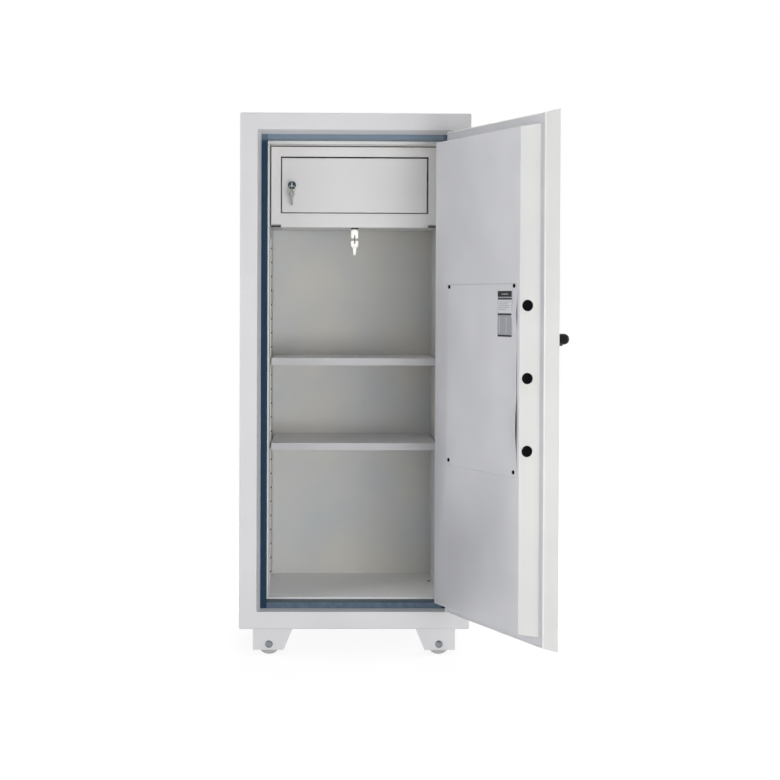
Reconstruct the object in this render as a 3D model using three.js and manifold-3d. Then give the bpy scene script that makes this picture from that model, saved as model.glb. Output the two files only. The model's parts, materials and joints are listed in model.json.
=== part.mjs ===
// Upright fire-resistant safe on four rollers, with its door open, a lockable deposit
// drawer under the roof and two adjustable shelves. Millimetres, +Z up, +X to the right.
// The origin is the centre of the cabinet's flat underside, and -Y is the front.
import * as THREE from 'three';
import { mergeVertices } from 'three/addons/utils/BufferGeometryUtils.js';
import Module from 'manifold-3d';

const wasm = await Module();
wasm.setup();

// Shared clearances
const seat = 0.3;              // gap between two pieces that touch
const runningGap = 0.3;        // gap round a turning or sliding piece
const overrun = 5;             // how far a cutting shape runs past what it cuts

// Cabinet shell
const bodyWidth = 550;
const bodyDepth = 500;
const bodyHeight = 1230;
const shellSheet = 2;
const coverSheet = 1.5;
const coverMargin = 9;
const rearFlange = 18;

// Front frame and door opening
const frameSide = 41.5;
const frameTop = 40;
const frameBottom = 41.5;
const returnDepth = 33;
const returnSlope = 8;
const footEase = 5.5;            // the return and the seal reach less far in at the bottom
const headEase = 2.5;            // and the seal at the top

// Seal frame between the shell and the liner
const sealFace = 14;
const sealSheet = 3;
const sealDepth = 46.4;
const sealLap = 1;

// Inner liner
const linerSideInset = 25.8;
const linerTopInset = 26.5;
const linerBottomInset = 20.5;
const linerSheet = 1.2;
const rearWall = 75;

// Door plate and plug
const doorGap = 3.5;
const plateDepth = 30;
const plateSlope = 8;
const doorSheet = 2;
const plugMargin = 28.5;
const plugDepth = 45;
const plugSlope = 8;
const plugSheet = 1.5;
const restAngleDeg = 113;

// Hinges
const hingeInset = 29;
const hingeForward = 15;
const barrelRadius = 11.5;
const hingePinRadius = 5;
const knuckleLength = 50;
const leafSheet = 4;
const leafReachBody = 22;
const leafReachDoor = 40;
const hingeEndInset = 190;
const pinRecess = 4;

// Boltwork inside the door
const boltRadius = 11.5;
const boltDepth = 57.5;
const boltRise = 5.5;
const boltPitch = 153.5;
const boltCount = 3;
const boltProud = 1.5;
const boltChamfer = 1.5;
const boltThrow = 32;
const boltHoleGap = 0.6;
const strikeGap = 1.5;
const strikePlay = 4;
const barOffset = 33;
const barSheet = 4;
const barDepthFront = 41;
const barDepthBack = 70;
const barHalfHeight = 180;
const tabFront = 42;
const tabSheet = 3;
const crankFront = 35.5;
const crankSheet = 4;
const crankRadius = 28;
const crankPinOffset = 16;
const crankPinRadius = 4;
const crankPinTip = 46;
const crankSlotPlay = 1;
const crankSlotTravel = 7.5;
const tabRim = 6;
const bayFront = 34.5;
const bayHalfHeight = 225;
const baySideRim = 6;
const bayBackRim = 1.5;

// Handle on the door's outer face
const handleInset = 73.5;
const handleRise = 81.5;
const spindleRadius = 6;
const spindleReach = 22;
const rosetteRadius = 25;
const rosetteSheet = 5;
const hubRadius = 12;
const hubWaist = 10.5;
const hubLength = 60;
const hubShoulder = 8;
const hubBoreDepth = 30;
const leverLength = 105;
const leverRootHigh = 11.5;
const leverRootLow = 15;
const leverTipHalf = 9;
const leverFront = 38;
const leverThickness = 13;

// Combination dial
const dialSpacing = 160;
const dialRingRadius = 46;
const dialRingSheet = 4;
const dialRingInner = 20;
const dialRadius = 37;
const dialFlange = 5;
const dialNeckRadius = 20;
const dialGripRadius = 23;
const dialGripStart = 8;
const dialLength = 26;
const dialDish = 2;
const dialSpindleRadius = 4;
const dialSpindleEnd = 50;
const lockCaseHalfWidth = 42;
const lockCaseHalfHeight = 50;
const lockCaseDepth = 25;

// Access panel and label on the door's inner face
const panelFreeInset = 10.5;
const panelHingeInset = 62;
const panelHalfHeight = 205;
const panelSheet = 1;
const panelHoleRim = 20;
const screwInset = 10;
const screwTopInset = 4.5;
const screwFootInset = 11.5;
const screwHeadRadius = 3.6;
const screwHeadHeight = 1.6;
const screwShankRadius = 1.75;
const screwLength = 8;
const labelWidth = 64.5;
const labelHeight = 102;
const labelSheet = 0.5;
const labelFreeInset = 18;
const labelTopInset = 11.5;

// Shelf rails and shelves
const railSheet = 2;
const railWidth = 20;
const railHeadroom = 27;
const railFloorGap = 2.5;
const frontRailInset = 85;
const rearRailInset = 25;
const slotTopInset = 23.9;
const slotPitch = 34.9;
const slotWidth = 12;
const slotHeight = 5;
const shelfSetback = 50;
const shelfBackGap = 2;
const shelfSideGap = 4.5;
const shelfHeight = 17.3;
const shelfSheet = 1.2;
const shelfTabPlay = 0.3;
const shelfHookDrop = 8.6;
const upperShelfCount = 8;
const lowerShelfCount = 14;

// Deposit drawer case under the roof
const caseSideGap = 1.2;
const caseTopGap = 0.3;
const caseHeight = 193.9;
const caseSheet = 1.2;
const caseSetback = 50;
const caseBackGap = 10;
const frontSheet = 1.5;
const frontHem = 12;
const caseNest = 4;
const stileWidth = 26;
const topRail = 27;
const bottomRail = 29;
const frontReturn = 13.3;
const frontReturnSheet = 1.5;
const lipHeight = 5;
const lipDepthShare = 0.6;
const lipSheet = 1.2;

// Deposit drawer
const drawerFrontGap = 2;
const drawerFrontInset = 2;
const drawerPanDepth = 9;
const drawerPanSheet = 1.2;
const traySideInset = 9;
const trayLift = 15.7;
const trayHeight = 88;
const trayBackGap = 3.4;
const traySheet = 1.2;
const trayFlange = 10;
const runnerSheet = 1.5;
const runnerSideGap = 2.5;
const runnerFootHeight = 15;
const runnerInset = 3.7;

// Drawer lock, its keys and ring
const lockInset = 26.5;
const lockLift = 68.7;
const lockRingRadius = 10;
const lockRingSheet = 2.5;
const lockBarrelRadius = 8;
const lockPlugRadius = 6;
const lockPlugProud = 0.6;
const camSheet = 2;
const camHalfWidth = 5;
const camReach = 33;
const camSlotPlay = 2;
const camPlay = 0.7;
const keySheet = 2;
const bowRadius = 9.5;
const bowHoleRadius = 3.3;
const keyNeck = 5;
const keyBladeHalf = 3.6;
const keyInserted = 9;
const keyBladeLength = 19;
const keyNotchWidth = 2;
const keyNotchDepth = 1.6;
const keyNotches = 3;
const ringRadius = 8.2;
const ringWire = 0.8;
const ringGap = 0.35;
const spareTwistDeg = 52;

// Base lock under the drawer case
const baseLockX = 1;
const baseLockInset = 25;
const baseArmReach = 11.5;
const baseArmHalf = 4;
const baseArmSheet = 3;
const baseBarrelLift = 2.1;
const catchInset = 7.5;
const catchWidth = 4.5;
const catchSheet = 2;
const catchPlay = 1;
const catchLift = 0.2;

// Feet
const footInset = 33;
const footTopWidth = 95;
const footBottomWidth = 73.5;
const footHeight = 52;
const footDepth = 52;
const footSheet = 3;
const footSetback = 12;
const wheelRadius = 27;
const wheelOffset = 38.5;
const wheelWidth = 26;
const wheelEdge = 2.5;
const hubOuterRadius = 9;
const hubSpan = 44;
const wheelDrop = 38;
const axleRadius = 5;
const axleHeadRadius = 9;
const axleHeadHeight = 5.5;
const axleHeadCrown = 2;
const axleNutRadius = 8.5;
const axleNutHeight = 8;
const axleTail = 4;

// Facets round a circle
const fineFacets = 32;
const roundFacets = 24;
const smallFacets = 16;
const tinyFacets = 12;
const hexFacets = 6;
const dialGripFacets = 20;
const domeStepCount = 4;

// Sizes that follow
const half = (length) => length / 2;
const openHalf = half(bodyWidth) - frameSide;
const openBottom = frameBottom;
const openTop = bodyHeight - frameTop;
const sealFront = returnDepth + seat;
const sealBack = sealFront + sealDepth;
const linerFront = sealBack + seat;
const linerBack = bodyDepth - rearWall;
const linerHalf = openHalf - linerSideInset;
const linerFloor = openBottom + linerBottomInset;
const linerRoof = openTop - linerTopInset;
const shellDepth = bodyDepth - coverSheet - seat;
const plugFace = plateDepth + plugDepth;
const returnRate = returnSlope / returnDepth;
const footRate = footEase / returnDepth;
const plateRate = plateSlope / plateDepth;
const plugRate = plugSlope / plugDepth;
const hingeX = half(bodyWidth) - hingeInset;
const hingeY = -hingeForward;
const boltMiddleZ = half(bodyHeight) + boltRise;
const handleX = handleInset - openHalf;
const handleZ = boltMiddleZ + handleRise;
const dialX = handleX + dialSpacing;
const dialZ = handleZ;
const barX = handleX + barOffset;
const plugFaceHalf = openHalf - doorGap - plugMargin - plugSlope;
const panelFreeEdge = panelFreeInset - plugFaceHalf;
const panelHingeEdge = plugFaceHalf - panelHingeInset;
const panelBottom = half(bodyHeight) - panelHalfHeight;
const panelTop = half(bodyHeight) + panelHalfHeight;
const caseFront = linerFront + caseSetback;
const caseBack = linerBack - caseBackGap;
const caseHalf = linerHalf - caseSideGap;
const caseTop = linerRoof - caseTopGap;
const caseBottom = caseTop - caseHeight;
const mouthHalf = caseHalf - stileWidth;
const mouthBottom = caseBottom + bottomRail;
const mouthTop = caseTop - topRail;
const panUnderside = caseBottom - seat - lipHeight;
const frontHalf = mouthHalf - drawerFrontGap;
const panFront = caseFront + drawerFrontInset;
const panBack = panFront + drawerPanDepth;
const trayFront = panBack + seat;
const trayHalfWidth = frontHalf - traySideInset;
const trayBottom = mouthBottom + trayLift;
const trayTop = trayBottom + trayHeight;
const lockX = lockInset - mouthHalf;
const lockZ = mouthBottom + lockLift;
const camFront = caseFront + frontReturn + camPlay;
const baseLockY = caseFront + baseLockInset;
const baseBarrelTop = mouthBottom + baseBarrelLift;
const armLow = baseBarrelTop + runningGap;
const catchX = baseLockX + catchInset;
const catchFront = baseLockY + baseArmHalf + catchPlay;
const railTop = panUnderside - railHeadroom;
const slotTopZ = railTop - slotTopInset;
const frontRailY = linerFront + frontRailInset;
const rearRailY = linerBack - rearRailInset;
const shelfFront = linerFront + shelfSetback;
const degree = Math.PI / 180;

// Paints and metals, as seen in the photograph
const finishes = {
  bodyPaint: { color: '#dcdcd8', roughness: 0.42, metalness: 0 },
  innerPaint: { color: '#cfd0d0', roughness: 0.5, metalness: 0 },
  doorPaint: { color: '#e2e2de', roughness: 0.42, metalness: 0 },
  plugPaint: { color: '#c9c9cd', roughness: 0.45, metalness: 0 },
  sealPlastic: { color: '#4d6b88', roughness: 0.55, metalness: 0 },
  insulation: { color: '#b9b4a8', roughness: 0.95, metalness: 0 },
  zincSteel: { color: '#b4b6b8', roughness: 0.35, metalness: 1 },
  nickel: { color: '#c9c8c4', roughness: 0.22, metalness: 1 },
  blackSteel: { color: '#141416', roughness: 0.3, metalness: 0.6 },
  blackPlastic: { color: '#161618', roughness: 0.4, metalness: 0 },
  labelFoil: { color: '#8d9297', roughness: 0.4, metalness: 0.2 },
  wheelNylon: { color: '#c6c6c2', roughness: 0.5, metalness: 0 },
};

// Turns a closed geometry into a solid, with its faces pointing out.
function solid(geometry) {
  const bare = geometry.clone();
  bare.deleteAttribute('normal');
  bare.deleteAttribute('uv');
  const merged = mergeVertices(bare);
  const points = merged.attributes.position.array;
  const index = merged.index.array;
  const kept = [];
  let volume = 0;
  const a = new THREE.Vector3();
  const b = new THREE.Vector3();
  const c = new THREE.Vector3();
  for (let i = 0; i < index.length; i += 3) {
    const [p, q, r] = [index[i], index[i + 1], index[i + 2]];
    if (p === q || q === r || r === p) continue;
    kept.push(p, q, r);
    a.fromArray(points, 3 * p);
    b.fromArray(points, 3 * q);
    c.fromArray(points, 3 * r);
    volume += a.dot(b.cross(c));
  }
  if (volume < 0) kept.reverse();
  const mesh = new wasm.Mesh({
    numProp: 3,
    vertProperties: new Float32Array(points),
    triVerts: new Uint32Array(kept),
  });
  return new wasm.Manifold(mesh);
}

const join = (first, ...others) => others.reduce((sum, piece) => sum.add(piece), first);
const cut = (first, ...others) => others.reduce((rest, piece) => rest.subtract(piece), first);

// A rectangle in the XZ plane, and the door opening's rectangle moved inwards.
const rect = (x0, x1, z0, z1) => ({ x0, x1, z0, z1 });
const opening = (inset) => rect(inset - openHalf, openHalf - inset, openBottom + inset, openTop - inset);
const eased = (inset, foot, head) => rect(
  inset - openHalf, openHalf - inset, openBottom + inset - foot, openTop - inset + head,
);

// A block between a rectangle at one depth and another at a greater depth.
function taper(near, y0, far, y1) {
  const corners = (r, y) => [[r.x0, y, r.z0], [r.x1, y, r.z0], [r.x1, y, r.z1], [r.x0, y, r.z1]];
  const points = [...corners(near, y0), ...corners(far, y1)].flat();
  const faces = [
    0, 1, 2, 0, 2, 3, 4, 6, 5, 4, 7, 6, 0, 4, 5, 0, 5, 1,
    1, 5, 6, 1, 6, 2, 2, 6, 7, 2, 7, 3, 3, 7, 4, 3, 4, 0,
  ];
  const geometry = new THREE.BufferGeometry();
  geometry.setAttribute('position', new THREE.Float32BufferAttribute(points, 3));
  geometry.setIndex(faces);
  return solid(geometry);
}

const block = (r, y0, y1) => taper(r, y0, r, y1);

// A block inside the door opening whose sides lean in at one rate from a known depth.
function sloped(inset, depth, rate, y0, y1) {
  return taper(opening(inset + rate * (y0 - depth)), y0, opening(inset + rate * (y1 - depth)), y1);
}

// The cabinet's own sloped return, moved outwards by a thickness.
function returnBlock(outwards, y0, y1) {
  const at = (y) => eased(returnRate * y - outwards, footRate * y, 0);
  return taper(at(y0), y0, at(y1), y1);
}

const box = (x0, x1, y0, y1, z0, z1) => block(rect(x0, x1, z0, z1), y0, y1);

// Round bars along each axis.
function rod(radius, length, facets) {
  return new THREE.CylinderGeometry(radius, radius, length, facets);
}

function rodX(radius, x0, x1, y, z, facets = roundFacets) {
  const bar = rod(radius, x1 - x0, facets).rotateZ(-half(Math.PI));
  return solid(bar.translate(half(x0 + x1), y, z));
}

function rodY(radius, y0, y1, x, z, facets = roundFacets) {
  return solid(rod(radius, y1 - y0, facets).translate(x, half(y0 + y1), z));
}

function rodZ(radius, z0, z1, x, y, facets = roundFacets) {
  const bar = rod(radius, z1 - z0, facets).rotateX(half(Math.PI));
  return solid(bar.translate(x, y, half(z0 + z1)));
}

// A turned piece about Y, from [radius, depth] points.
function turned(profile, x, z, facets = roundFacets) {
  const points = profile.map(([radius, depth]) => new THREE.Vector2(radius, depth));
  return solid(new THREE.LatheGeometry(points, facets).translate(x, 0, z));
}

// An outline in the XZ plane carried from one depth to another.
function prism(outline, y0, y1) {
  const shape = new THREE.Shape(outline.map(([x, z]) => new THREE.Vector2(x, z)));
  const bar = new THREE.ExtrudeGeometry(shape, { depth: y1 - y0, bevelEnabled: false });
  return solid(bar.rotateX(half(Math.PI)).translate(0, y1, 0));
}

// The triangles of a solid, and the same solid turned and moved.
function triangles(shape) {
  const { vertProperties, triVerts } = shape.getMesh();
  const geometry = new THREE.BufferGeometry();
  geometry.setAttribute('position', new THREE.Float32BufferAttribute(vertProperties, 3));
  geometry.setIndex([...triVerts]);
  return geometry;
}

function moved(shape, turn, dz) {
  const matrix = new THREE.Matrix4().makeRotationFromEuler(turn);
  return solid(triangles(shape).applyMatrix4(matrix).translate(0, 0, dz));
}

// A mesh with a material of its own, hung on a group.
function place(group, name, shape, finish) {
  const geometry = triangles(shape);
  geometry.computeVertexNormals();
  const mesh = new THREE.Mesh(geometry, new THREE.MeshStandardMaterial(finishes[finish]));
  mesh.name = name;
  group.add(mesh);
  return mesh;
}

// The root turns depth from the front face into the model's own Y.
const safe = new THREE.Group();
safe.position.y = -half(bodyDepth);

// The door's pieces are drawn closed, and this group swings them open about the hinge.
const door = new THREE.Group();
door.position.set(hingeX, hingeY, 0);
door.rotation.z = restAngleDeg * degree;
const doorShut = new THREE.Group();
doorShut.position.set(-hingeX, -hingeY, 0);
door.add(doorShut);
safe.add(door);

const boltHeights = Array.from(
  { length: boltCount },
  (_, i) => boltMiddleZ + (i - half(boltCount - 1)) * boltPitch,
);
const boltTipX = -(openHalf - doorGap - plugMargin
  - plugSlope * (boltDepth - plateDepth) / plugDepth + boltProud);
const strikeEnd = boltTipX - boltThrow - strikePlay;

// Steel shell with its folded front frame, sloped return and rear flange
function outerShell() {
  const side = half(bodyWidth);
  const outer = box(-side, side, 0, shellDepth, 0, bodyHeight);
  const room = box(
    shellSheet - side, side - shellSheet,
    shellSheet, shellDepth - shellSheet,
    shellSheet, bodyHeight - shellSheet,
  );
  const returnWall = returnBlock(shellSheet, 0, returnDepth);
  const mouth = returnBlock(0, -overrun, returnDepth + overrun);
  const back = box(
    rearFlange - side, side - rearFlange,
    shellDepth - shellSheet - overrun, shellDepth + overrun,
    rearFlange, bodyHeight - rearFlange,
  );
  return cut(join(cut(outer, room), returnWall), mouth, back);
}

function backCover() {
  const side = half(bodyWidth) - coverMargin;
  return box(-side, side, bodyDepth - coverSheet, bodyDepth, coverMargin, bodyHeight - coverMargin);
}

// Cast fill between the shell, the seal frame and the liner
function bodyInsulation() {
  const side = half(bodyWidth) - shellSheet - seat;
  const low = shellSheet + seat;
  const fill = box(-side, side, low, shellDepth - low, low, bodyHeight - low);
  const mouth = returnBlock(shellSheet + seat, 0, sealFront);
  const flangeRoom = block(
    eased(returnSlope - sealLap - seat, footEase, 0),
    sealFront - overrun, sealFront + sealSheet + seat,
  );
  const webRoom = block(
    eased(returnSlope + sealFace - sealSheet - seat, footEase, headEase),
    sealFront, linerFront + linerSheet + seat,
  );
  const wall = linerSheet + seat;
  const linerRoom = box(
    -linerHalf - wall, linerHalf + wall,
    linerFront, linerBack + wall,
    linerFloor - wall, linerRoof + wall,
  );
  const pockets = boltHeights.map((z) => rodX(
    boltRadius + strikeGap, strikeEnd, -linerHalf, boltDepth, z,
  ));
  return cut(fill, mouth, flangeRoom, webRoom, linerRoom, ...pockets);
}

// Plastic frame that keeps the shell's heat from the liner, with the three strike holes
function sealFrame() {
  const inner = eased(returnSlope + sealFace, footEase, headEase);
  const face = cut(
    block(eased(returnSlope - sealLap, footEase, 0), sealFront, sealFront + sealSheet),
    block(inner, 0, sealBack + overrun),
  );
  const web = cut(
    block(eased(returnSlope + sealFace - sealSheet, footEase, headEase), sealFront, sealBack),
    block(inner, 0, sealBack + overrun),
  );
  const holes = boltHeights.map((z) => rodX(
    boltRadius + strikeGap, strikeEnd - overrun, -linerHalf, boltDepth, z,
  ));
  return cut(join(face, web), ...holes);
}

function innerLiner() {
  const flange = block(
    eased(returnSlope + sealFace - sealSheet, footEase, headEase),
    linerFront, linerFront + linerSheet,
  );
  const tub = box(
    -linerHalf - linerSheet, linerHalf + linerSheet,
    linerFront, linerBack + linerSheet,
    linerFloor - linerSheet, linerRoof + linerSheet,
  );
  const room = box(
    -linerHalf, linerHalf, linerFront - overrun, linerBack, linerFloor, linerRoof,
  );
  return cut(join(flange, tub), room);
}

// Slotted rail on a side wall; side is -1 on the left and 1 on the right
const slotCount = Math.floor((slotTopZ - linerFloor - railFloorGap) / slotPitch) + 1;
const slotZ = (step) => slotTopZ - step * slotPitch;

function shelfRail(side, y) {
  const outside = linerHalf - seat;
  const inside = outside - railSheet;
  const span = (near, far) => (side < 0 ? [-far, -near] : [near, far]);
  const y0 = y - half(railWidth);
  let rail = box(...span(inside, outside), y0, y0 + railWidth, linerFloor + railFloorGap, railTop);
  for (let step = 0; step < slotCount; step += 1) {
    const z = slotZ(step) - half(slotHeight);
    const slot = box(
      ...span(inside - overrun, outside + overrun),
      y - half(slotWidth), y + half(slotWidth), z, z + slotHeight,
    );
    rail = cut(rail, slot);
  }
  return rail;
}

// Folded sheet shelf, open below, with four hooks in the rails' slots
function shelf(step) {
  const top = slotZ(step) + shelfHookDrop;
  const side = linerHalf - shelfSideGap;
  const back = linerBack - shelfBackGap;
  const plate = box(-side, side, shelfFront, back, top - shelfHeight, top);
  const room = box(
    shelfSheet - side, side - shelfSheet,
    shelfFront + shelfSheet, back - shelfSheet,
    top - shelfHeight - overrun, top - shelfSheet,
  );
  let made = cut(plate, room);
  const hookHalf = half(slotHeight) - shelfTabPlay;
  const hookSide = half(slotWidth) - shelfTabPlay;
  for (const y of [frontRailY, rearRailY]) {
    for (const end of [-1, 1]) {
      const x0 = end * (side - shelfSheet);
      const x1 = end * (linerHalf - 2 * seat);
      const hook = box(
        Math.min(x0, x1), Math.max(x0, x1), y - hookSide, y + hookSide,
        slotZ(step) - hookHalf, slotZ(step) + hookHalf,
      );
      made = join(made, hook);
    }
  }
  return made;
}

// Drawer case, its front frame and the stiffening pan below it
const caseStart = caseFront + frontHem - caseNest;

function drawerCase() {
  const outer = box(-caseHalf, caseHalf, caseStart, caseBack, caseBottom, caseTop);
  const room = box(
    caseSheet - caseHalf, caseHalf - caseSheet,
    caseStart - overrun, caseBack - caseSheet,
    caseBottom + caseSheet, caseTop - caseSheet,
  );
  const lockHole = rodZ(
    lockBarrelRadius + seat, caseBottom - overrun, caseBottom + overrun, baseLockX, baseLockY,
  );
  return cut(outer, room, lockHole);
}

// Front frame, hemmed all round so that it nests inside the case's front edge
function drawerCaseFront() {
  const edge = (inset) => rect(
    inset - caseHalf, caseHalf - inset, caseBottom + inset, caseTop - inset,
  );
  const nest = caseSheet + seat;
  const plate = cut(
    block(edge(nest), caseFront, caseFront + frontHem),
    block(edge(nest + frontSheet), caseFront + frontSheet, caseFront + frontHem + overrun),
  );
  const fold = box(
    -mouthHalf - frontReturnSheet, mouthHalf + frontReturnSheet,
    caseFront, caseFront + frontReturn,
    mouthBottom - frontReturnSheet, mouthTop + frontReturnSheet,
  );
  const mouth = box(
    -mouthHalf, mouthHalf, caseFront - overrun, caseFront + frontReturn + overrun,
    mouthBottom, mouthTop,
  );
  return join(cut(join(plate, fold), mouth), casePan());
}

// Stiffening pan folded back under the case from the front frame's lower edge
function casePan() {
  const top = caseBottom - seat;
  const lipDepth = lipDepthShare * (caseBack - caseFront);
  const pan = box(
    -mouthHalf, mouthHalf, caseFront, caseFront + lipDepth, panUnderside, top,
  );
  const room = box(
    lipSheet - mouthHalf, mouthHalf - lipSheet,
    caseFront + frontSheet, caseFront + lipDepth - lipSheet,
    panUnderside + lipSheet, top + overrun,
  );
  const fold = box(
    -mouthHalf, mouthHalf, caseFront, caseFront + frontSheet, panUnderside, mouthBottom,
  );
  const lockHole = rodZ(
    lockBarrelRadius + seat, panUnderside - overrun, top + overrun, baseLockX, baseLockY,
  );
  return join(cut(pan, room, lockHole), fold);
}

// Deposit drawer: a folded front pan and a tray with side flanges that run in the rails
function drawerFront() {
  const pan = box(
    -frontHalf, frontHalf, panFront, panBack,
    mouthBottom + drawerFrontGap, mouthTop - drawerFrontGap,
  );
  const room = box(
    drawerPanSheet - frontHalf, frontHalf - drawerPanSheet,
    panFront + drawerPanSheet, panBack + overrun,
    mouthBottom + drawerFrontGap + drawerPanSheet, mouthTop - drawerFrontGap - drawerPanSheet,
  );
  const lockHole = rodY(lockBarrelRadius + seat, panFront - overrun, panBack + overrun, lockX, lockZ);
  return cut(pan, room, lockHole);
}

function drawerTray() {
  const back = caseBack - caseSheet - trayBackGap;
  const tub = box(-trayHalfWidth, trayHalfWidth, trayFront, back, trayBottom, trayTop);
  const flanges = box(
    -trayHalfWidth - trayFlange, trayHalfWidth + trayFlange,
    trayFront, back, trayTop - traySheet, trayTop,
  );
  const room = box(
    traySheet - trayHalfWidth, trayHalfWidth - traySheet,
    trayFront + traySheet, back - traySheet, trayBottom + traySheet, trayTop + overrun,
  );
  const lockHole = rodY(lockBarrelRadius + seat, trayFront - overrun, camFront, lockX, lockZ);
  const camSlot = box(
    -trayHalfWidth - overrun, traySheet + camSlotPlay - trayHalfWidth,
    trayFront + traySheet, camFront + camSheet + camSlotPlay,
    lockZ - camReach - camSlotPlay, lockZ + camHalfWidth + camSlotPlay,
  );
  const catchTab = box(
    catchX, catchX + catchWidth, catchFront, catchFront + catchSheet,
    armLow + catchLift, trayBottom + half(traySheet),
  );
  return join(cut(join(tub, flanges), room, lockHole, camSlot), catchTab);
}

// Fixed rail that holds a tray flange from below and above; side as for the shelf rails
function drawerRunner(side) {
  const lowTop = trayTop - traySheet - runningGap;
  const highBottom = trayTop + runningGap;
  const lip = trayHalfWidth + runnerSideGap;
  const web = trayHalfWidth + trayFlange + runnerSideGap;
  const wall = caseHalf - caseSheet - seat;
  const outline = [
    [lip, lowTop - runnerSheet], [lip, lowTop], [web, lowTop], [web, highBottom],
    [lip, highBottom], [lip, highBottom + runnerSheet],
    [web + runnerSheet, highBottom + runnerSheet], [web + runnerSheet, lowTop],
    [wall, lowTop], [wall, lowTop - runnerFootHeight],
    [wall - runnerSheet, lowTop - runnerFootHeight], [wall - runnerSheet, lowTop - runnerSheet],
  ];
  const ends = [trayFront + runnerInset, caseBack - caseSheet - half(runnerInset)];
  return prism(outline.map(([x, z]) => [side * x, z]), ...ends);
}

// Fixed lock body in the drawer's front, and the turning plug with its cam
function drawerLockBody() {
  const ringFront = panFront - seat - lockRingSheet;
  const ring = rodY(lockRingRadius, ringFront, panFront - seat, lockX, lockZ);
  const barrel = rodY(lockBarrelRadius, ringFront, camFront - seat, lockX, lockZ);
  const bore = rodY(lockPlugRadius + runningGap, ringFront - overrun, camFront, lockX, lockZ);
  return cut(join(ring, barrel), bore);
}

const plugFront = panFront - seat - lockRingSheet - lockPlugProud;

function drawerLockPlug() {
  const plug = rodY(lockPlugRadius, plugFront, camFront + camSheet, lockX, lockZ);
  const cam = box(
    lockX - camHalfWidth, lockX + camHalfWidth, camFront, camFront + camSheet,
    lockZ - camReach, lockZ,
  );
  const keyway = box(
    lockX - half(keySheet) - seat, lockX + half(keySheet) + seat,
    plugFront - overrun, plugFront + keyInserted + seat,
    lockZ - keyBladeHalf - seat, lockZ + keyBladeHalf + seat,
  );
  return cut(join(plug, cam), keyway);
}

// A key in the XZ plane: round bow at the origin, hole near its end, blade towards +Z
function key(bladeEnd, bladeHalf, notches) {
  const t = half(keySheet);
  let made = join(
    rodY(bowRadius, -t, t, 0, 0),
    box(-bladeHalf, bladeHalf, -t, t, 0, bladeEnd),
  );
  for (let i = 1; i <= notches; i += 1) {
    const z = bladeEnd - 2 * i * keyNotchWidth;
    const notch = box(
      bladeHalf - keyNotchDepth, bladeHalf + overrun, -overrun, overrun, z, z + keyNotchWidth,
    );
    made = cut(made, notch);
  }
  return cut(made, rodY(bowHoleRadius, -overrun, overrun, 0, 0, smallFacets));
}

const keyInLock = () => key(bowRadius + keyNeck + keyInserted, keyBladeHalf, 0);

// A ring through the bow's hole with the spare key hanging in it, blade down
const ringDrop = ringGap + ringWire - bowHoleRadius - ringRadius;
const spareDrop = ringDrop - ringRadius + half(ringWire) - bowHoleRadius;

function spareOnRing(ringTurn, keyTurn) {
  const ring = solid(new THREE.TorusGeometry(ringRadius, ringWire, smallFacets, roundFacets));
  const spare = key(bowRadius + keyBladeLength, keyBladeHalf, keyNotches);
  return join(moved(ring, ringTurn, ringDrop), moved(spare, keyTurn, spareDrop));
}

// Base lock: its axis is upright, and its arm stops the catch under the tray
const basePlugLow = panUnderside - seat - lockRingSheet - lockPlugProud;

function baseLockBody() {
  const ringLow = panUnderside - seat - lockRingSheet;
  const ring = rodZ(lockRingRadius, ringLow, panUnderside - seat, baseLockX, baseLockY);
  const barrel = rodZ(lockBarrelRadius, ringLow, baseBarrelTop, baseLockX, baseLockY);
  const bore = rodZ(
    lockPlugRadius + runningGap, ringLow - overrun, baseBarrelTop + overrun, baseLockX, baseLockY,
  );
  return cut(join(ring, barrel), bore);
}

function baseLockPlug() {
  const plug = rodZ(lockPlugRadius, basePlugLow, armLow + baseArmSheet, baseLockX, baseLockY);
  const arm = box(
    baseLockX - baseArmHalf, baseLockX + baseArmHalf, baseLockY - baseArmReach, baseLockY,
    armLow, armLow + baseArmSheet,
  );
  const keyway = box(
    baseLockX - keyBladeHalf - seat, baseLockX + keyBladeHalf + seat,
    baseLockY - half(keySheet) - seat, baseLockY + half(keySheet) + seat,
    basePlugLow - overrun, basePlugLow + keyInserted + seat,
  );
  return cut(join(plug, arm), keyway);
}

// Door skin: a shallow tray with sloped edges
function doorSkin() {
  return cut(
    sloped(doorGap, 0, plateRate, 0, plateDepth),
    sloped(doorGap + doorSheet, 0, plateRate, doorSheet, plateDepth + overrun),
  );
}

// Plug casing: a sloped pan on a flange, with the bolt holes and the access opening
const accessHole = rect(
  panelFreeEdge + panelHoleRim, panelHingeEdge - panelHoleRim,
  panelBottom + panelHoleRim, panelTop - panelHoleRim,
);
const screwPlaces = [panelFreeEdge + screwInset, panelHingeEdge - screwInset].flatMap(
  (x) => [panelBottom + screwFootInset, panelTop - screwTopInset].map((z) => [x, z]),
);

function plugCasing() {
  const flangeFront = plateDepth - plugSheet;
  const flange = block(
    opening(doorGap + plateSlope + doorSheet + seat), flangeFront, plateDepth,
  );
  const margin = doorGap + plugMargin;
  const pan = sloped(margin, plateDepth, plugRate, flangeFront, plugFace);
  const room = sloped(
    margin + plugSheet, plateDepth, plugRate, flangeFront - overrun, plugFace - plugSheet,
  );
  const boltHoles = boltHeights.map((z) => rodX(
    boltRadius + boltHoleGap, boltTipX - overrun, boltTipX + 3 * overrun, boltDepth, z,
  ));
  const screwHoles = screwPlaces.map(([x, z]) => rodY(
    screwShankRadius + seat, plugFace - overrun, plugFace + overrun, x, z, tinyFacets,
  ));
  return cut(
    join(flange, pan), room, block(accessHole, plugFace - overrun, plugFace + overrun),
    ...boltHoles, ...screwHoles,
  );
}

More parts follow.
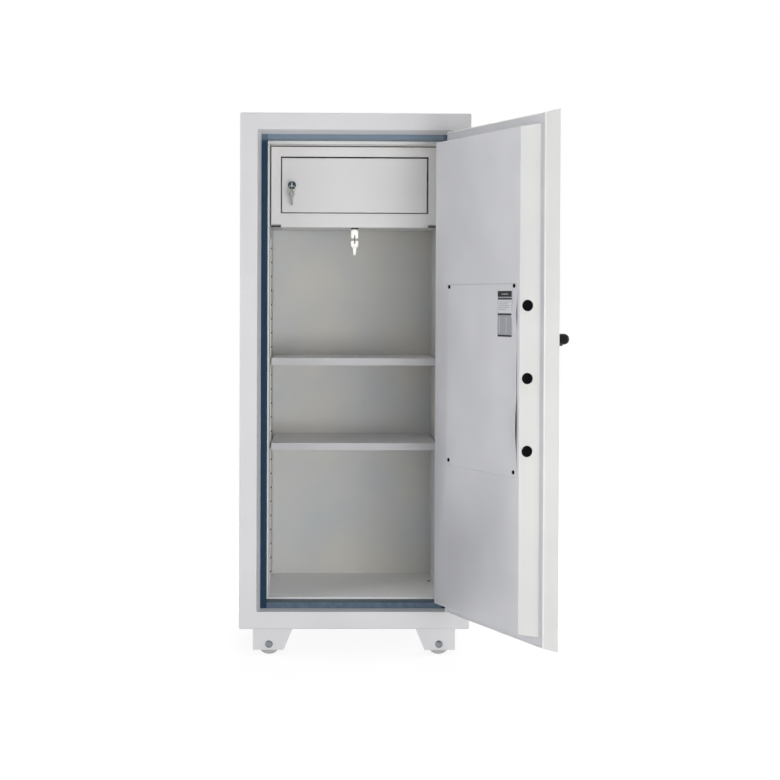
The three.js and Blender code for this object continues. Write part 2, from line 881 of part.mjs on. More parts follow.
// Fill of the door, with the bay for the boltwork and the two spindle holes
function doorInsulation() {
  const front = doorSheet + seat;
  const plateFill = sloped(
    doorGap + front, 0, plateRate, front, plateDepth - plugSheet - seat,
  );
  const inset = doorGap + plugMargin + plugSheet + seat;
  const plugFill = sloped(
    inset, plateDepth, plugRate, front, plugFace - plugSheet - seat,
  );
  const bayHalf = openHalf - inset - plugSlope - baySideRim;
  const bay = box(
    -openHalf, bayHalf, bayFront, plugFace - bayBackRim + overrun,
    boltMiddleZ - bayHalfHeight, boltMiddleZ + bayHalfHeight,
  );
  const spindleHole = rodY(spindleRadius + 2 * seat, -overrun, bayFront + overrun, handleX, handleZ);
  const dialHole = rodY(dialSpindleRadius + 2 * seat, -overrun, bayFront + overrun, dialX, dialZ);
  return cut(join(plateFill, plugFill), bay, spindleHole, dialHole);
}

function accessPanel() {
  const front = plugFace + seat;
  const plate = box(panelFreeEdge, panelHingeEdge, front, front + panelSheet, panelBottom, panelTop);
  const holes = screwPlaces.map(([x, z]) => rodY(
    screwShankRadius + seat, front - overrun, front + overrun, x, z, tinyFacets,
  ));
  return cut(plate, ...holes);
}

function panelScrew([x, z]) {
  const headFront = plugFace + 2 * seat + panelSheet;
  const shank = headFront - screwLength;
  return turned([
    [0, shank], [screwShankRadius, shank], [screwShankRadius, headFront],
    [screwHeadRadius, headFront], [screwHeadRadius, headFront + half(screwHeadHeight)],
    [half(screwHeadRadius), headFront + screwHeadHeight], [0, headFront + screwHeadHeight],
  ], x, z, tinyFacets);
}

function labelPlate() {
  const front = plugFace + panelSheet + 2 * seat;
  const x0 = panelFreeEdge + labelFreeInset;
  const top = panelTop - labelTopInset;
  return box(x0, x0 + labelWidth, front, front + labelSheet, top - labelHeight, top);
}

// Locking bolts on an upright bar, moved by a crank pin on the handle's spindle
function lockingBolt(z) {
  const tip = boltTipX;
  const end = barX - seat;
  const shape = new THREE.CylinderGeometry(
    boltRadius - boltChamfer, boltRadius, boltChamfer, roundFacets,
  );
  const nose = solid(shape.rotateZ(half(Math.PI)).translate(tip + half(boltChamfer), boltDepth, z));
  return join(nose, rodX(boltRadius, tip + boltChamfer, end, boltDepth, z));
}

function boltBar() {
  const web = box(
    barX, barX + barSheet, barDepthFront, barDepthBack,
    boltMiddleZ - barHalfHeight, boltMiddleZ + barHalfHeight,
  );
  const pinX = handleX + crankPinOffset;
  const slotHalf = crankPinRadius + crankSlotPlay;
  const slotTop = handleZ - crankPinOffset + slotHalf;
  const slotLow = handleZ - crankPinOffset - crankSlotTravel - slotHalf;
  const tab = box(
    pinX - slotHalf - tabRim, barX + half(barSheet), tabFront, tabFront + tabSheet,
    slotLow - tabRim, slotTop + tabRim,
  );
  const slot = box(
    pinX - slotHalf, pinX + slotHalf, tabFront - overrun, tabFront + tabSheet + overrun,
    slotLow, slotTop,
  );
  return cut(join(web, tab), slot);
}

function handleSpindle() {
  const shaft = rodY(spindleRadius, -spindleReach, crankFront + crankSheet, handleX, handleZ);
  const disc = rodY(crankRadius, crankFront, crankFront + crankSheet, handleX, handleZ, fineFacets);
  const pin = rodY(
    crankPinRadius, crankFront, crankPinTip,
    handleX + crankPinOffset, handleZ - crankPinOffset, smallFacets,
  );
  return join(shaft, disc, pin);
}

function handleRosette() {
  const ring = turned([
    [0, -seat], [rosetteRadius, -seat], [rosetteRadius, -seat - half(rosetteSheet)],
    [rosetteRadius - half(rosetteSheet), -seat - rosetteSheet], [0, -seat - rosetteSheet],
  ], handleX, handleZ, fineFacets);
  return cut(ring, rodY(spindleRadius + 2 * seat, -rosetteSheet - overrun, overrun, handleX, handleZ));
}

// Lever handle: a turned hub with a domed nose and a tapering arm towards the hinge side
function handleLever() {
  const base = -rosetteSheet - 2 * seat;
  const nose = base - hubLength;
  const dome = Array.from({ length: domeStepCount }, (_, i) => {
    const turn = half(Math.PI) * (domeStepCount - i) / domeStepCount;
    return [hubRadius * Math.sin(turn), nose + hubRadius * (1 - Math.cos(turn))];
  });
  const hub = turned([
    [0, base], [hubRadius, base], [hubWaist, base - hubShoulder],
    [hubWaist, base - 2 * hubShoulder], [hubRadius, base - 3 * hubShoulder],
    ...dome, [0, nose],
  ], handleX, handleZ);
  const far = handleX + leverLength;
  const y0 = -leverFront - leverThickness;
  const arm = prism([
    [handleX, handleZ - leverRootLow], [far - leverTipHalf, handleZ - leverTipHalf],
    [far - leverTipHalf / 4, handleZ - half(leverTipHalf)],
    [far, handleZ], [far - leverTipHalf / 4, handleZ + half(leverTipHalf)],
    [far - leverTipHalf, handleZ + leverTipHalf], [handleX, handleZ + leverRootHigh],
  ], y0, y0 + leverThickness);
  const bore = rodY(spindleRadius + seat, base - hubBoreDepth, base + overrun, handleX, handleZ);
  return cut(join(hub, arm), bore);
}

function dialRing() {
  return turned([
    [dialRingInner, -seat], [dialRingRadius, -seat],
    [dialRingRadius, -seat - half(dialRingSheet)],
    [dialRingRadius - half(dialRingSheet), -seat - dialRingSheet],
    [dialRingInner, -seat - dialRingSheet], [dialRingInner, -seat],
  ], dialX, dialZ, fineFacets);
}

function combinationDial() {
  const base = -dialRingSheet - 2 * seat;
  const nose = base - dialLength;
  const body = turned([
    [0, base], [dialRadius, base], [dialRadius, base - dialDish],
    [dialNeckRadius + dialDish, base - dialFlange], [dialNeckRadius, base - dialFlange],
    [dialNeckRadius, base - dialGripStart], [dialGripRadius, base - dialGripStart - dialDish],
    [dialGripRadius, nose + dialDish], [dialNeckRadius, nose], [0, nose],
  ], dialX, dialZ, 2 * dialGripFacets);
  return join(body, rodY(dialSpindleRadius, base - dialFlange, dialSpindleEnd, dialX, dialZ));
}

function lockCase() {
  const y0 = bayFront + seat;
  const body = box(
    dialX - lockCaseHalfWidth, dialX + lockCaseHalfWidth, y0, y0 + lockCaseDepth,
    dialZ - lockCaseHalfHeight, dialZ + lockCaseHalfHeight,
  );
  return cut(body, rodY(
    dialSpindleRadius + 2 * seat, y0 - overrun, dialSpindleEnd + seat, dialX, dialZ,
  ));
}

// Lift-off hinge: the knuckle below is on the cabinet and carries the pressed-in pin
function knuckle(z0, z1, leafX0, leafX1) {
  const barrel = rodZ(barrelRadius, z0, z1, hingeX, hingeY);
  return join(barrel, box(leafX0, leafX1, -seat - leafSheet, -seat, z0, z1));
}

function hingePin(z) {
  const top = z + knuckleLength - pinRecess;
  return rodZ(hingePinRadius, z - half(knuckleLength), top, hingeX, hingeY, smallFacets);
}

function hingeBore(z) {
  return rodZ(
    hingePinRadius + runningGap, z - overrun, z + knuckleLength + overrun,
    hingeX, hingeY, smallFacets,
  );
}

function doorHoles(shape) {
  return cut(
    shape,
    rodY(spindleRadius + 2 * seat, -overrun, doorSheet + overrun, handleX, handleZ),
    rodY(dialSpindleRadius + 2 * seat, -overrun, doorSheet + overrun, dialX, dialZ),
  );
}

// Foot bracket: a folded box, open below, upright outside and sloped inside
function footBracket(side, front) {
  const outer = side * (half(bodyWidth) - footInset);
  const towards = -side;
  const y0 = front ? footSetback : bodyDepth - footSetback - footDepth;
  const y1 = y0 + footDepth;
  const outline = (grow, low, high) => {
    const slope = (footTopWidth - footBottomWidth) / footHeight;
    const reach = (z) => footBottomWidth + slope * (footHeight + z);
    return [
      [outer - towards * grow, low], [outer + towards * (reach(low) + grow), low],
      [outer + towards * (reach(high) + grow), high], [outer - towards * grow, high],
    ];
  };
  const shellBox = prism(outline(0, -footHeight, -seat), y0, y1);
  const room = prism(
    outline(-footSheet, -footHeight - overrun, -seat - footSheet),
    y0 + footSheet, y1 - footSheet,
  );
  const axleX = outer + towards * wheelOffset;
  const hole = rodY(axleRadius + seat, y0 - overrun, y1 + overrun, axleX, -wheelDrop, smallFacets);
  return { bracket: cut(shellBox, room, hole), axleX, y0, y1 };
}

function roller({ axleX, y0, y1 }) {
  const mid = half(y0 + y1);
  const tread = half(wheelWidth);
  const span = half(hubSpan);
  const bore = axleRadius + runningGap;
  return turned([
    [bore, mid - span], [hubOuterRadius, mid - span], [hubOuterRadius, mid - tread],
    [wheelRadius - wheelEdge, mid - tread], [wheelRadius, mid - tread + wheelEdge],
    [wheelRadius, mid + tread - wheelEdge], [wheelRadius - wheelEdge, mid + tread],
    [hubOuterRadius, mid + tread], [hubOuterRadius, mid + span], [bore, mid + span],
    [bore, mid - span],
  ], axleX, -wheelDrop, fineFacets);
}

function axleBolt({ axleX, y0, y1 }) {
  const headBack = y0 - seat;
  const head = turned([
    [0, headBack], [axleHeadRadius, headBack],
    [axleHeadRadius, headBack - axleHeadHeight + axleHeadCrown],
    [axleHeadRadius - axleHeadCrown, headBack - axleHeadHeight], [0, headBack - axleHeadHeight],
  ], axleX, -wheelDrop, smallFacets);
  const nutFront = y1 + seat;
  const shank = rodY(
    axleRadius, headBack - half(axleHeadHeight), nutFront + axleNutHeight + axleTail,
    axleX, -wheelDrop, smallFacets,
  );
  const nut = rodY(
    axleNutRadius, nutFront, nutFront + axleNutHeight, axleX, -wheelDrop, hexFacets,
  );
  return join(head, shank, nut);
}

// Cabinet
place(safe, 'outer_shell', outerShell(), 'bodyPaint');
place(safe, 'back_cover', backCover(), 'bodyPaint');
place(safe, 'body_insulation', bodyInsulation(), 'insulation');
place(safe, 'seal_frame', sealFrame(), 'sealPlastic');
place(safe, 'inner_liner', innerLiner(), 'innerPaint');
for (const [word, side] of [['left', -1], ['right', 1]]) {
  place(safe, `shelf_rail_front_${word}`, shelfRail(side, frontRailY), 'innerPaint');
  place(safe, `shelf_rail_rear_${word}`, shelfRail(side, rearRailY), 'innerPaint');
  place(safe, `drawer_runner_${word}`, drawerRunner(side), 'zincSteel');
}
place(safe, 'shelf_upper', shelf(upperShelfCount), 'innerPaint');
place(safe, 'shelf_lower', shelf(lowerShelfCount), 'innerPaint');

// Drawer case, drawer and its lock
place(safe, 'drawer_case', drawerCase(), 'innerPaint');
place(safe, 'drawer_case_front', drawerCaseFront(), 'innerPaint');
place(safe, 'drawer_front', drawerFront(), 'innerPaint');
place(safe, 'drawer_tray', drawerTray(), 'innerPaint');
place(safe, 'drawer_lock_body', drawerLockBody(), 'nickel');
place(safe, 'drawer_lock_plug', drawerLockPlug(), 'nickel');

const bowOut = plugFront - keyNeck - bowRadius;
const drawerKey = place(safe, 'drawer_key', keyInLock(), 'nickel');
drawerKey.rotation.set(-half(Math.PI), half(Math.PI), 0, 'YXZ');
drawerKey.position.set(lockX, bowOut, lockZ);
const drawerFob = spareOnRing(
  new THREE.Euler(half(Math.PI), 0, 0),
  new THREE.Euler(0, Math.PI, spareTwistDeg * degree, 'ZYX'),
);
place(safe, 'drawer_spare_key', drawerFob, 'nickel').position.set(lockX, bowOut, lockZ);

// Base lock, its key, ring and spare
place(safe, 'base_lock_body', baseLockBody(), 'nickel');
place(safe, 'base_lock_plug', baseLockPlug(), 'nickel');
const bowDown = basePlugLow - keyNeck - bowRadius;
const baseKey = place(safe, 'base_key', keyInLock(), 'nickel');
baseKey.position.set(baseLockX, baseLockY, bowDown);
const baseFob = spareOnRing(
  new THREE.Euler(0, half(Math.PI), 0),
  new THREE.Euler(0, Math.PI, 0),
);
place(safe, 'base_spare_key', baseFob, 'nickel').position.set(baseLockX, baseLockY, bowDown);

// Hinges
for (const [word, z] of [['lower', hingeEndInset], ['upper', bodyHeight - hingeEndInset]]) {
  const body = knuckle(z - knuckleLength, z - seat, hingeX, hingeX + leafReachBody);
  const leaf = knuckle(z, z + knuckleLength, hingeX - leafReachDoor, hingeX);
  place(safe, `hinge_body_${word}`, join(body, hingePin(z)), 'bodyPaint');
  place(doorShut, `hinge_door_${word}`, cut(leaf, hingeBore(z)), 'doorPaint');
}

// Door
place(doorShut, 'door_skin', doorHoles(doorSkin()), 'doorPaint');
place(doorShut, 'door_insulation', doorInsulation(), 'insulation');
place(doorShut, 'door_plug_casing', plugCasing(), 'plugPaint');
place(doorShut, 'access_panel', accessPanel(), 'plugPaint');
screwPlaces.forEach((spot, i) => place(doorShut, `panel_screw_${i + 1}`, panelScrew(spot), 'blackSteel'));
place(doorShut, 'label_plate', labelPlate(), 'labelFoil');
boltHeights.forEach((z, i) => place(doorShut, `locking_bolt_${i + 1}`, lockingBolt(z), 'blackSteel'));
place(doorShut, 'bolt_bar', boltBar(), 'zincSteel');
place(doorShut, 'handle_spindle', handleSpindle(), 'zincSteel');
place(doorShut, 'handle_rosette', handleRosette(), 'blackPlastic');
place(doorShut, 'handle_lever', handleLever(), 'blackPlastic');
place(doorShut, 'dial_ring', dialRing(), 'nickel');
place(doorShut, 'combination_dial', combinationDial(), 'blackPlastic');
place(doorShut, 'lock_case', lockCase(), 'zincSteel');

// Feet
for (const [row, front] of [['front', true], ['rear', false]]) {
  for (const [word, side] of [['left', -1], ['right', 1]]) {
    const foot = footBracket(side, front);
    place(safe, `foot_bracket_${row}_${word}`, foot.bracket, 'bodyPaint');
    place(safe, `roller_${row}_${word}`, roller(foot), 'wheelNylon');
    place(safe, `axle_bolt_${row}_${word}`, axleBolt(foot), 'zincSteel');
  }
}

export default safe;
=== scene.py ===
"""Upright fire-resistant safe with its door open, a deposit drawer under the roof and two shelves."""
import json
import math

import bmesh
import bpy
from mathutils import Matrix, Vector

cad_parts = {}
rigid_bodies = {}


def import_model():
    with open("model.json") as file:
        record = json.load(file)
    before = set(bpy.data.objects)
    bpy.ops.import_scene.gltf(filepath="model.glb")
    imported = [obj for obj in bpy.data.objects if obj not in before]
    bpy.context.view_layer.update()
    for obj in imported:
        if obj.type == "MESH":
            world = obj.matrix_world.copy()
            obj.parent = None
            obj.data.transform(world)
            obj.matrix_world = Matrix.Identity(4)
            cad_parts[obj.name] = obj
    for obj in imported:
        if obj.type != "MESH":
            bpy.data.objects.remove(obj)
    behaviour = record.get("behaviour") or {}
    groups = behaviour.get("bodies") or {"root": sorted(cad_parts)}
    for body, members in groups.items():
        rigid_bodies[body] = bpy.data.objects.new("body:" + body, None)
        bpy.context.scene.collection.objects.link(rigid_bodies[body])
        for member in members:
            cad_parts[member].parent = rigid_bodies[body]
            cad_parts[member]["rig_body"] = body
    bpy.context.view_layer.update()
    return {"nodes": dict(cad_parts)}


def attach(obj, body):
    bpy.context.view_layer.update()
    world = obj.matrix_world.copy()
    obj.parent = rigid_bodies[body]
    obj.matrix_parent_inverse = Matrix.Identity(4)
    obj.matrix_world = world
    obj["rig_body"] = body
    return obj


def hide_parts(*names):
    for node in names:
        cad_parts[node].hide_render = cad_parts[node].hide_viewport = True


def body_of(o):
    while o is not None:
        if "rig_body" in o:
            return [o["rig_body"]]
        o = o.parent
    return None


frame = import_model()

# One millimetre in metres
MM = 0.001
# In mm: the Y of the cabinet's front face, and the floor that the rollers stand on
FRONT = -250.0
FLOOR = -65.0
# The hinge pins, in mm from the middle of the front face, and how far the door stands open
HINGE = (246.0, -15.0)
SWING = math.radians(113)
# Points closer than this, in metres, are one point, and faces flatter than this are one face
SAME_POINT = 1e-7
SAME_FACE = math.radians(0.4)
# A turned shape's radius below this, in mm, is a point on its axis
ON_AXIS = 1e-6
# Edges sharper than this get a radius, and faces that meet at less are shaded as one
SHARP_EDGE = math.radians(30)
SMOOTH_EDGE = math.radians(32)
QUARTER = math.pi / 2
# A face whose normal has less than this along an axis, out of 1, slopes away from it
SLOPING = 0.7


# Places

def swung_door():
    """Takes a point of the shut door, in mm from the front face, to where the open door has it."""
    pivot = Matrix.Translation((*HINGE, 0))
    return Matrix.Translation((0, FRONT, 0)) @ pivot @ Matrix.Rotation(SWING, 4, "Z") @ pivot.inverted()


SHUT_DOOR = swung_door()
CABINET = Matrix.Translation((0, FRONT, 0))
TO_MM = Matrix.Diagonal((1 / MM, 1 / MM, 1 / MM, 1))


def points_of(node, place):
    """A CAD node's points in mm, as its own place draws them."""
    source = frame["nodes"][node]
    to_place = place.inverted() @ TO_MM @ source.matrix_world
    return [to_place @ v.co for v in source.data.vertices]


def extent(node, place):
    """The low and high corners of a CAD node, in mm, as its own place draws it."""
    points = points_of(node, place)
    return tuple(Vector([pick(p[i] for p in points) for i in range(3)]) for pick in (min, max))


# Materials

def linear(code):
    """An sRGB hex colour as linear RGBA."""
    values = [int(code[i:i + 2], 16) / 255 for i in (0, 2, 4)]
    return [v / 12.92 if v <= 0.04045 else ((v + 0.055) / 1.055) ** 2.4 for v in values] + [1.0]


def add(tree, kind, links=(), **settings):
    """Adds a node; settings name its own fields or its inputs, and links feed its inputs."""
    node = tree.nodes.new(kind)
    for key, value in settings.items():
        if hasattr(node, key):
            setattr(node, key, value)
        else:
            node.inputs[key.replace("_", " ")].default_value = value
    for socket, source in links:
        tree.links.new(source, node.inputs[socket])
    return node


def new_material(name, colour, roughness, metallic=0.0, ior=1.5):
    """A material with its shader, and the object's own coordinates, in metres."""
    material = bpy.data.materials.new(name)
    material.use_nodes = True
    tree = material.node_tree
    tree.nodes.clear()
    shader = add(tree, "ShaderNodeBsdfPrincipled")
    shader.inputs["Base Color"].default_value = linear(colour)
    shader.inputs["Roughness"].default_value = roughness
    shader.inputs["Metallic"].default_value = metallic
    if not metallic:
        shader.inputs["IOR"].default_value = ior
    add(tree, "ShaderNodeOutputMaterial", [("Surface", shader.outputs[0])])
    place = add(tree, "ShaderNodeTexCoord").outputs["Object"]
    return material, tree, shader, place


def scale_of(size_mm):
    """A pattern's scale, in repeats to the metre, from the size of its grain."""
    return 1 / (size_mm * MM)


def vary(tree, shader, tint, wear=None, relief=None):
    """Lets a surface vary with the pattern that comes first in tint, wear and relief.

    tint runs the colour from low to high as its pattern goes from 0.3 to 0.7, wear runs the roughness from
    low to high, and relief raises the surface by a depth in mm where its pattern is 1.
    """
    pattern, low, high = tint
    ramp = add(tree, "ShaderNodeValToRGB", [("Fac", pattern.outputs[0])])
    for stop, position, colour in zip(ramp.color_ramp.elements, (0.3, 0.7), (low, high)):
        stop.position = position
        stop.color = linear(colour)
    tree.links.new(ramp.outputs[0], shader.inputs["Base Color"])
    if wear:
        pattern, low, high = wear
        spread = add(tree, "ShaderNodeMapRange", [("Value", pattern.outputs[0])], To_Min=low, To_Max=high)
        tree.links.new(spread.outputs[0], shader.inputs["Roughness"])
    if relief:
        pattern, depth_mm = relief
        raised = add(
            tree, "ShaderNodeBump", [("Height", pattern.outputs[0])], Strength=1.0, Distance=depth_mm * MM,
        )
        tree.links.new(raised.outputs[0], shader.inputs["Normal"])


def powder_coat(name, low, high, roughness, depth_mm=0.012):
    """Powder-coated sheet steel: a satin film with a fine orange peel and a slow drift of shade."""
    material, tree, shader, place = new_material(name, low, roughness)
    drift_mm, rub_mm, peel_mm = 200.0, 26.3, 2.2
    drift = add(tree, "ShaderNodeTexNoise", [("Vector", place)], Scale=scale_of(drift_mm), Detail=2.0)
    rub = add(tree, "ShaderNodeTexNoise", [("Vector", place)], Scale=scale_of(rub_mm), Detail=4.0)
    peel = add(tree, "ShaderNodeTexNoise", [("Vector", place)], Scale=scale_of(peel_mm), Detail=1.0)
    wear = (rub, roughness - 0.06, roughness + 0.08)
    vary(tree, shader, (drift, low, high), wear, (peel, depth_mm))
    return material


def extruded_plastic(name, low, high, stile, head):
    """Extruded PVC: matt with patches of dust; painted shade darkens it past stile to the sides, painted
    light lightens it above head (both in mm).
    """
    material, tree, shader, place = new_material(name, low, 0.5, ior=1.53)
    shader.inputs["Specular IOR Level"].default_value = 0.25
    # Patches of dust, and the fine lines that the die leaves
    dust_mm, line_mm = 16.7, 1.11
    dust = add(tree, "ShaderNodeTexNoise", [("Vector", place)], Scale=scale_of(dust_mm), Detail=5.0)
    axes = add(tree, "ShaderNodeSeparateXYZ", [("Vector", place)])
    outwards = add(tree, "ShaderNodeMath", [(0, axes.outputs["X"])], operation="ABSOLUTE")
    shade = add(tree, "ShaderNodeMapRange", [("Value", dust.outputs[0])], To_Min=0.38, To_Max=0.62)
    # How much the painted shade at the stile and the painted light at the head change the tone, and in how
    # many mm they do so
    painted_light_step, stile_run, head_run = 0.3, 2.0, 8.0
    changes = (
        (outwards.outputs[0], stile - stile_run, stile, -painted_light_step),
        (axes.outputs["Z"], head - head_run, head, painted_light_step),
    )
    for value, near, far, change in changes:
        step = add(
            tree, "ShaderNodeMapRange", [("Value", value)],
            From_Min=near * MM, From_Max=far * MM, To_Min=0.0, To_Max=change,
        )
        shade = add(tree, "ShaderNodeMath", [(0, shade.outputs[0]), (1, step.outputs[0])], operation="ADD")
    line = add(tree, "ShaderNodeTexNoise", [("Vector", place)], Scale=scale_of(line_mm), Detail=0.0)
    vary(tree, shader, (shade, low, high), (dust, 0.42, 0.62), (line, 0.02))
    return material


def plated_metal(name, low, high, roughness, spangle_mm):
    """Plated metal: clear reflections broken up by the grain of the plating and by fine scuffs."""
    material, tree, shader, place = new_material(name, low, roughness, metallic=1.0)
    # The plating's grain and its scuffs are drawn coarser than they are, so that they show
    scuff_mm = 2.38
    grain = add(tree, "ShaderNodeTexVoronoi", [("Vector", place)], Scale=scale_of(spangle_mm))
    scuff = add(tree, "ShaderNodeTexNoise", [("Vector", place)], Scale=scale_of(scuff_mm), Detail=5.0)
    vary(tree, shader, (grain, low, high), (scuff, roughness - 0.07, roughness + 0.12), (scuff, 0.01))
    return material


def blackened_metal(name, low, high, roughness):
    """Metal under a black oxide film, which lets little of its reflections through."""
    material, tree, shader, place = new_material(name, low, roughness, metallic=1.0)
    mark_mm = 1.43
    mark = add(tree, "ShaderNodeTexNoise", [("Vector", place)], Scale=scale_of(mark_mm), Detail=3.0)
    vary(tree, shader, (mark, low, high), (mark, roughness - 0.06, roughness + 0.1), (mark, 0.01))
    return material


def moulded_black(name):
    """Moulded black phenolic: semi-gloss with the faint grain of the mould."""
    material, tree, shader, place = new_material(name, "141416", 0.36, ior=1.55)
    # The mould's grain is drawn coarser than it is, so that it shows
    grain_mm = 0.71
    grain = add(tree, "ShaderNodeTexNoise", [("Vector", place)], Scale=scale_of(grain_mm), Detail=2.0)
    vary(tree, shader, (grain, "101012", "1a1a1d"), (grain, 0.3, 0.44), (grain, 0.015))
    return material


def cast_fill(name):
    """Cast vermiculite concrete: chalky, with coarse grains and pores."""
    material, tree, shader, place = new_material(name, "b9b4a8", 0.95)
    grit_mm, pore_mm = 4.0, 2.86
    grit = add(tree, "ShaderNodeTexVoronoi", [("Vector", place)], Scale=scale_of(grit_mm))
    pores = add(tree, "ShaderNodeTexNoise", [("Vector", place)], Scale=scale_of(pore_mm), Detail=6.0)
    vary(tree, shader, (grit, "a39d8f", "cbc6ba"), relief=(pores, 0.5))
    return material


def painted_shade_foam(name):
    """Black closed-cell foam strip, set in gaps and under edges as painted shade: matt, with fine cut cells.
    """
    material, tree, shader, place = new_material(name, "131314", 0.85, ior=1.48)
    cell_mm = 0.8
    cells = add(tree, "ShaderNodeTexVoronoi", [("Vector", place)], Scale=scale_of(cell_mm))
    vary(tree, shader, (cells, "0e0e0f", "1b1b1d"), relief=(cells, 0.08))
    return material


def printed_film(name, low, high, specular=0.5):
    """Plain polyester label film: even, with a slight satin mottle; dark ink dulls its gloss."""
    material, tree, shader, place = new_material(name, low, 0.4, ior=1.57)
    shader.inputs["Specular IOR Level"].default_value = specular
    mottle_mm = 4.55
    mottle = add(tree, "ShaderNodeTexNoise", [("Vector", place)], Scale=scale_of(mottle_mm), Detail=3.0)
    vary(tree, shader, (mottle, low, high), (mottle, 0.34, 0.46))
    return material


FINISHES = {
    "shell_coat": powder_coat("powder_coated_shell_steel", "dddcde", "e2e1e3", 0.4),
    "inner_coat": powder_coat("powder_coated_liner_steel", "ced2d5", "dedbd4", 0.42),
    # Copies of the liner's paint painted lighter, as painted light, for its front flange and for its floor
    "flange_coat_painted_lighter": powder_coat("liner_flange_steel_painted_lighter", "eeeeec", "f3f3f1", 0.42),
    "floor_coat_painted_lighter": powder_coat("liner_floor_steel_painted_lighter", "f0f0ee", "f4f4f2", 0.42),
    "case_coat": powder_coat("powder_coated_case_steel", "e4e2e2", "eae8e8", 0.4),
    # A darker copy of the shelves' paint, as painted shade, for their front faces
    "shelf_front_painted_shade": powder_coat("shelf_front_steel_painted_darker", "c3c3c5", "c9c9cb", 0.42),
    "door_coat": powder_coat("powder_coated_door_steel", "d4d4d1", "dadad7", 0.4),
    "plug_coat": powder_coat("powder_coated_plug_steel", "d2d2d7", "dedee2", 0.36, depth_mm=0.02),
    "plug_side": powder_coat("powder_coated_plug_side_steel", "d5d5d2", "dbdbd8", 0.4),
    # The seal's tone is painted darker on its stiles as painted shade and lighter on its head as painted
    # light
    "seal": extruded_plastic("extruded_pvc_seal_frame", "17334a", "758593", stile=211.5, head=1170.0),
    # Black foam put in gaps and under edges, where it stands as painted shade
    "foam": painted_shade_foam("black_closed_cell_foam"),
    "fill": cast_fill("cast_vermiculite_fill"),
    "zinc": plated_metal("zinc_plated_steel", "a9abae", "bfc1c4", 0.34, 5.0),
    "bolt_zinc": plated_metal("dull_zinc_plated_bolt_steel", "7b7e82", "92959a", 0.32, 4.0),
    "nickel": plated_metal("nickel_plated_brass", "c4c2bc", "d6d4cf", 0.2, 2.5),
    "bright_nickel": plated_metal("bright_nickel_plated_key_brass", "eceae4", "f6f5f0", 0.2, 2.5),
    "satin_nickel": plated_metal("satin_nickel_plated_brass", "6a6864", "7b7975", 0.48, 1.6),
    "black_steel": blackened_metal("blackened_turned_steel", "0d0d0e", "19191b", 0.34),
    "black_zinc": blackened_metal("black_plated_zinc_alloy", "1a1a1c", "2c2c2f", 0.42),
    "smoked_chrome": plated_metal("smoked_chrome_brass", "35404a", "4b5762", 0.2, 1.6),
    "black_plastic": moulded_black("moulded_black_phenolic"),
    "label": printed_film("plain_label_film_grey", "8c8c95", "97979f"),
    "label_dark": printed_film("plain_label_film_dark", "0c0c0e", "131316", specular=0.12),
    "label_pale": printed_film("plain_label_film_pale", "c9cace", "d8d9dc"),
    "roller": powder_coat("painted_cast_roller", "bdbdb9", "c6c6c2", 0.46),
    "paint_white": printed_film("white_filled_engraving", "e2e2de", "ecece8"),
}


# Pieces

def show(name, mesh, body, finish, stands_for=(), smooth=True):
    """Links a mesh as a piece of the object that rides on a body."""
    mesh.materials.clear()
    mesh.materials.append(FINISHES[finish])
    piece = bpy.data.objects.new(name, mesh)
    bpy.context.scene.collection.objects.link(piece)
    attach(piece, body)
    if stands_for:
        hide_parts(*stands_for)
    for face in mesh.polygons:
        face.use_smooth = smooth
    if smooth:
        mesh.set_sharp_from_angle(angle=SMOOTH_EDGE)
    return piece


def round_edges(piece, width_mm, steps=2):
    """Gives the piece's sharp edges a small radius, as folded, cast or turned edges have."""
    bevel = piece.modifiers.new("rounded edges", "BEVEL")
    bevel.width = width_mm * MM
    bevel.segments = steps
    bevel.limit_method = "ANGLE"
    bevel.angle_limit = SHARP_EDGE
    bevel.harden_normals = True
    return piece


def round_folds(piece, place, levels, fold_mm, edge_mm, steps):
    """Rounds the outline folds at these levels of depth more than the sheet's cut edges."""
    mesh = piece.data
    to_place = place.inverted() @ TO_MM
    points = [to_place @ v.co for v in mesh.vertices]
    near = 0.02
    folded = set()
    for pick in levels:
        level = pick(p.y for p in points)
        flat = [p for p in points if abs(p.y - level) < near]
        sides = [(i, end(p[i] for p in flat)) for i in (0, 2) for end in (min, max)]
        for edge in mesh.edges:
            ends = [points[i] for i in edge.vertices]
            on = [
                {k for k, (i, at) in enumerate(sides) if abs(p.y - level) < near and abs(p[i] - at) < near}
                for p in ends
            ]
            if on[0] & on[1] or max(map(len, on)) > 1:
                folded.add(edge.index)
    form = bmesh.new()
    form.from_mesh(mesh)
    form.edges.ensure_lookup_table()
    share = edge_mm / fold_mm
    weights = [
        0.0 if edge.calc_face_angle(0.0) < SHARP_EDGE else 1.0 if edge.index in folded else share
        for edge in form.edges
    ]
    form.free()
    mesh.attributes.new("bevel_weight_edge", "FLOAT", "EDGE").data.foreach_set("value", weights)
    bevel = piece.modifiers.new("rounded folds", "BEVEL")
    bevel.width = fold_mm * MM
    bevel.segments = steps
    bevel.limit_method = "WEIGHT"
    bevel.harden_normals = True
    return piece


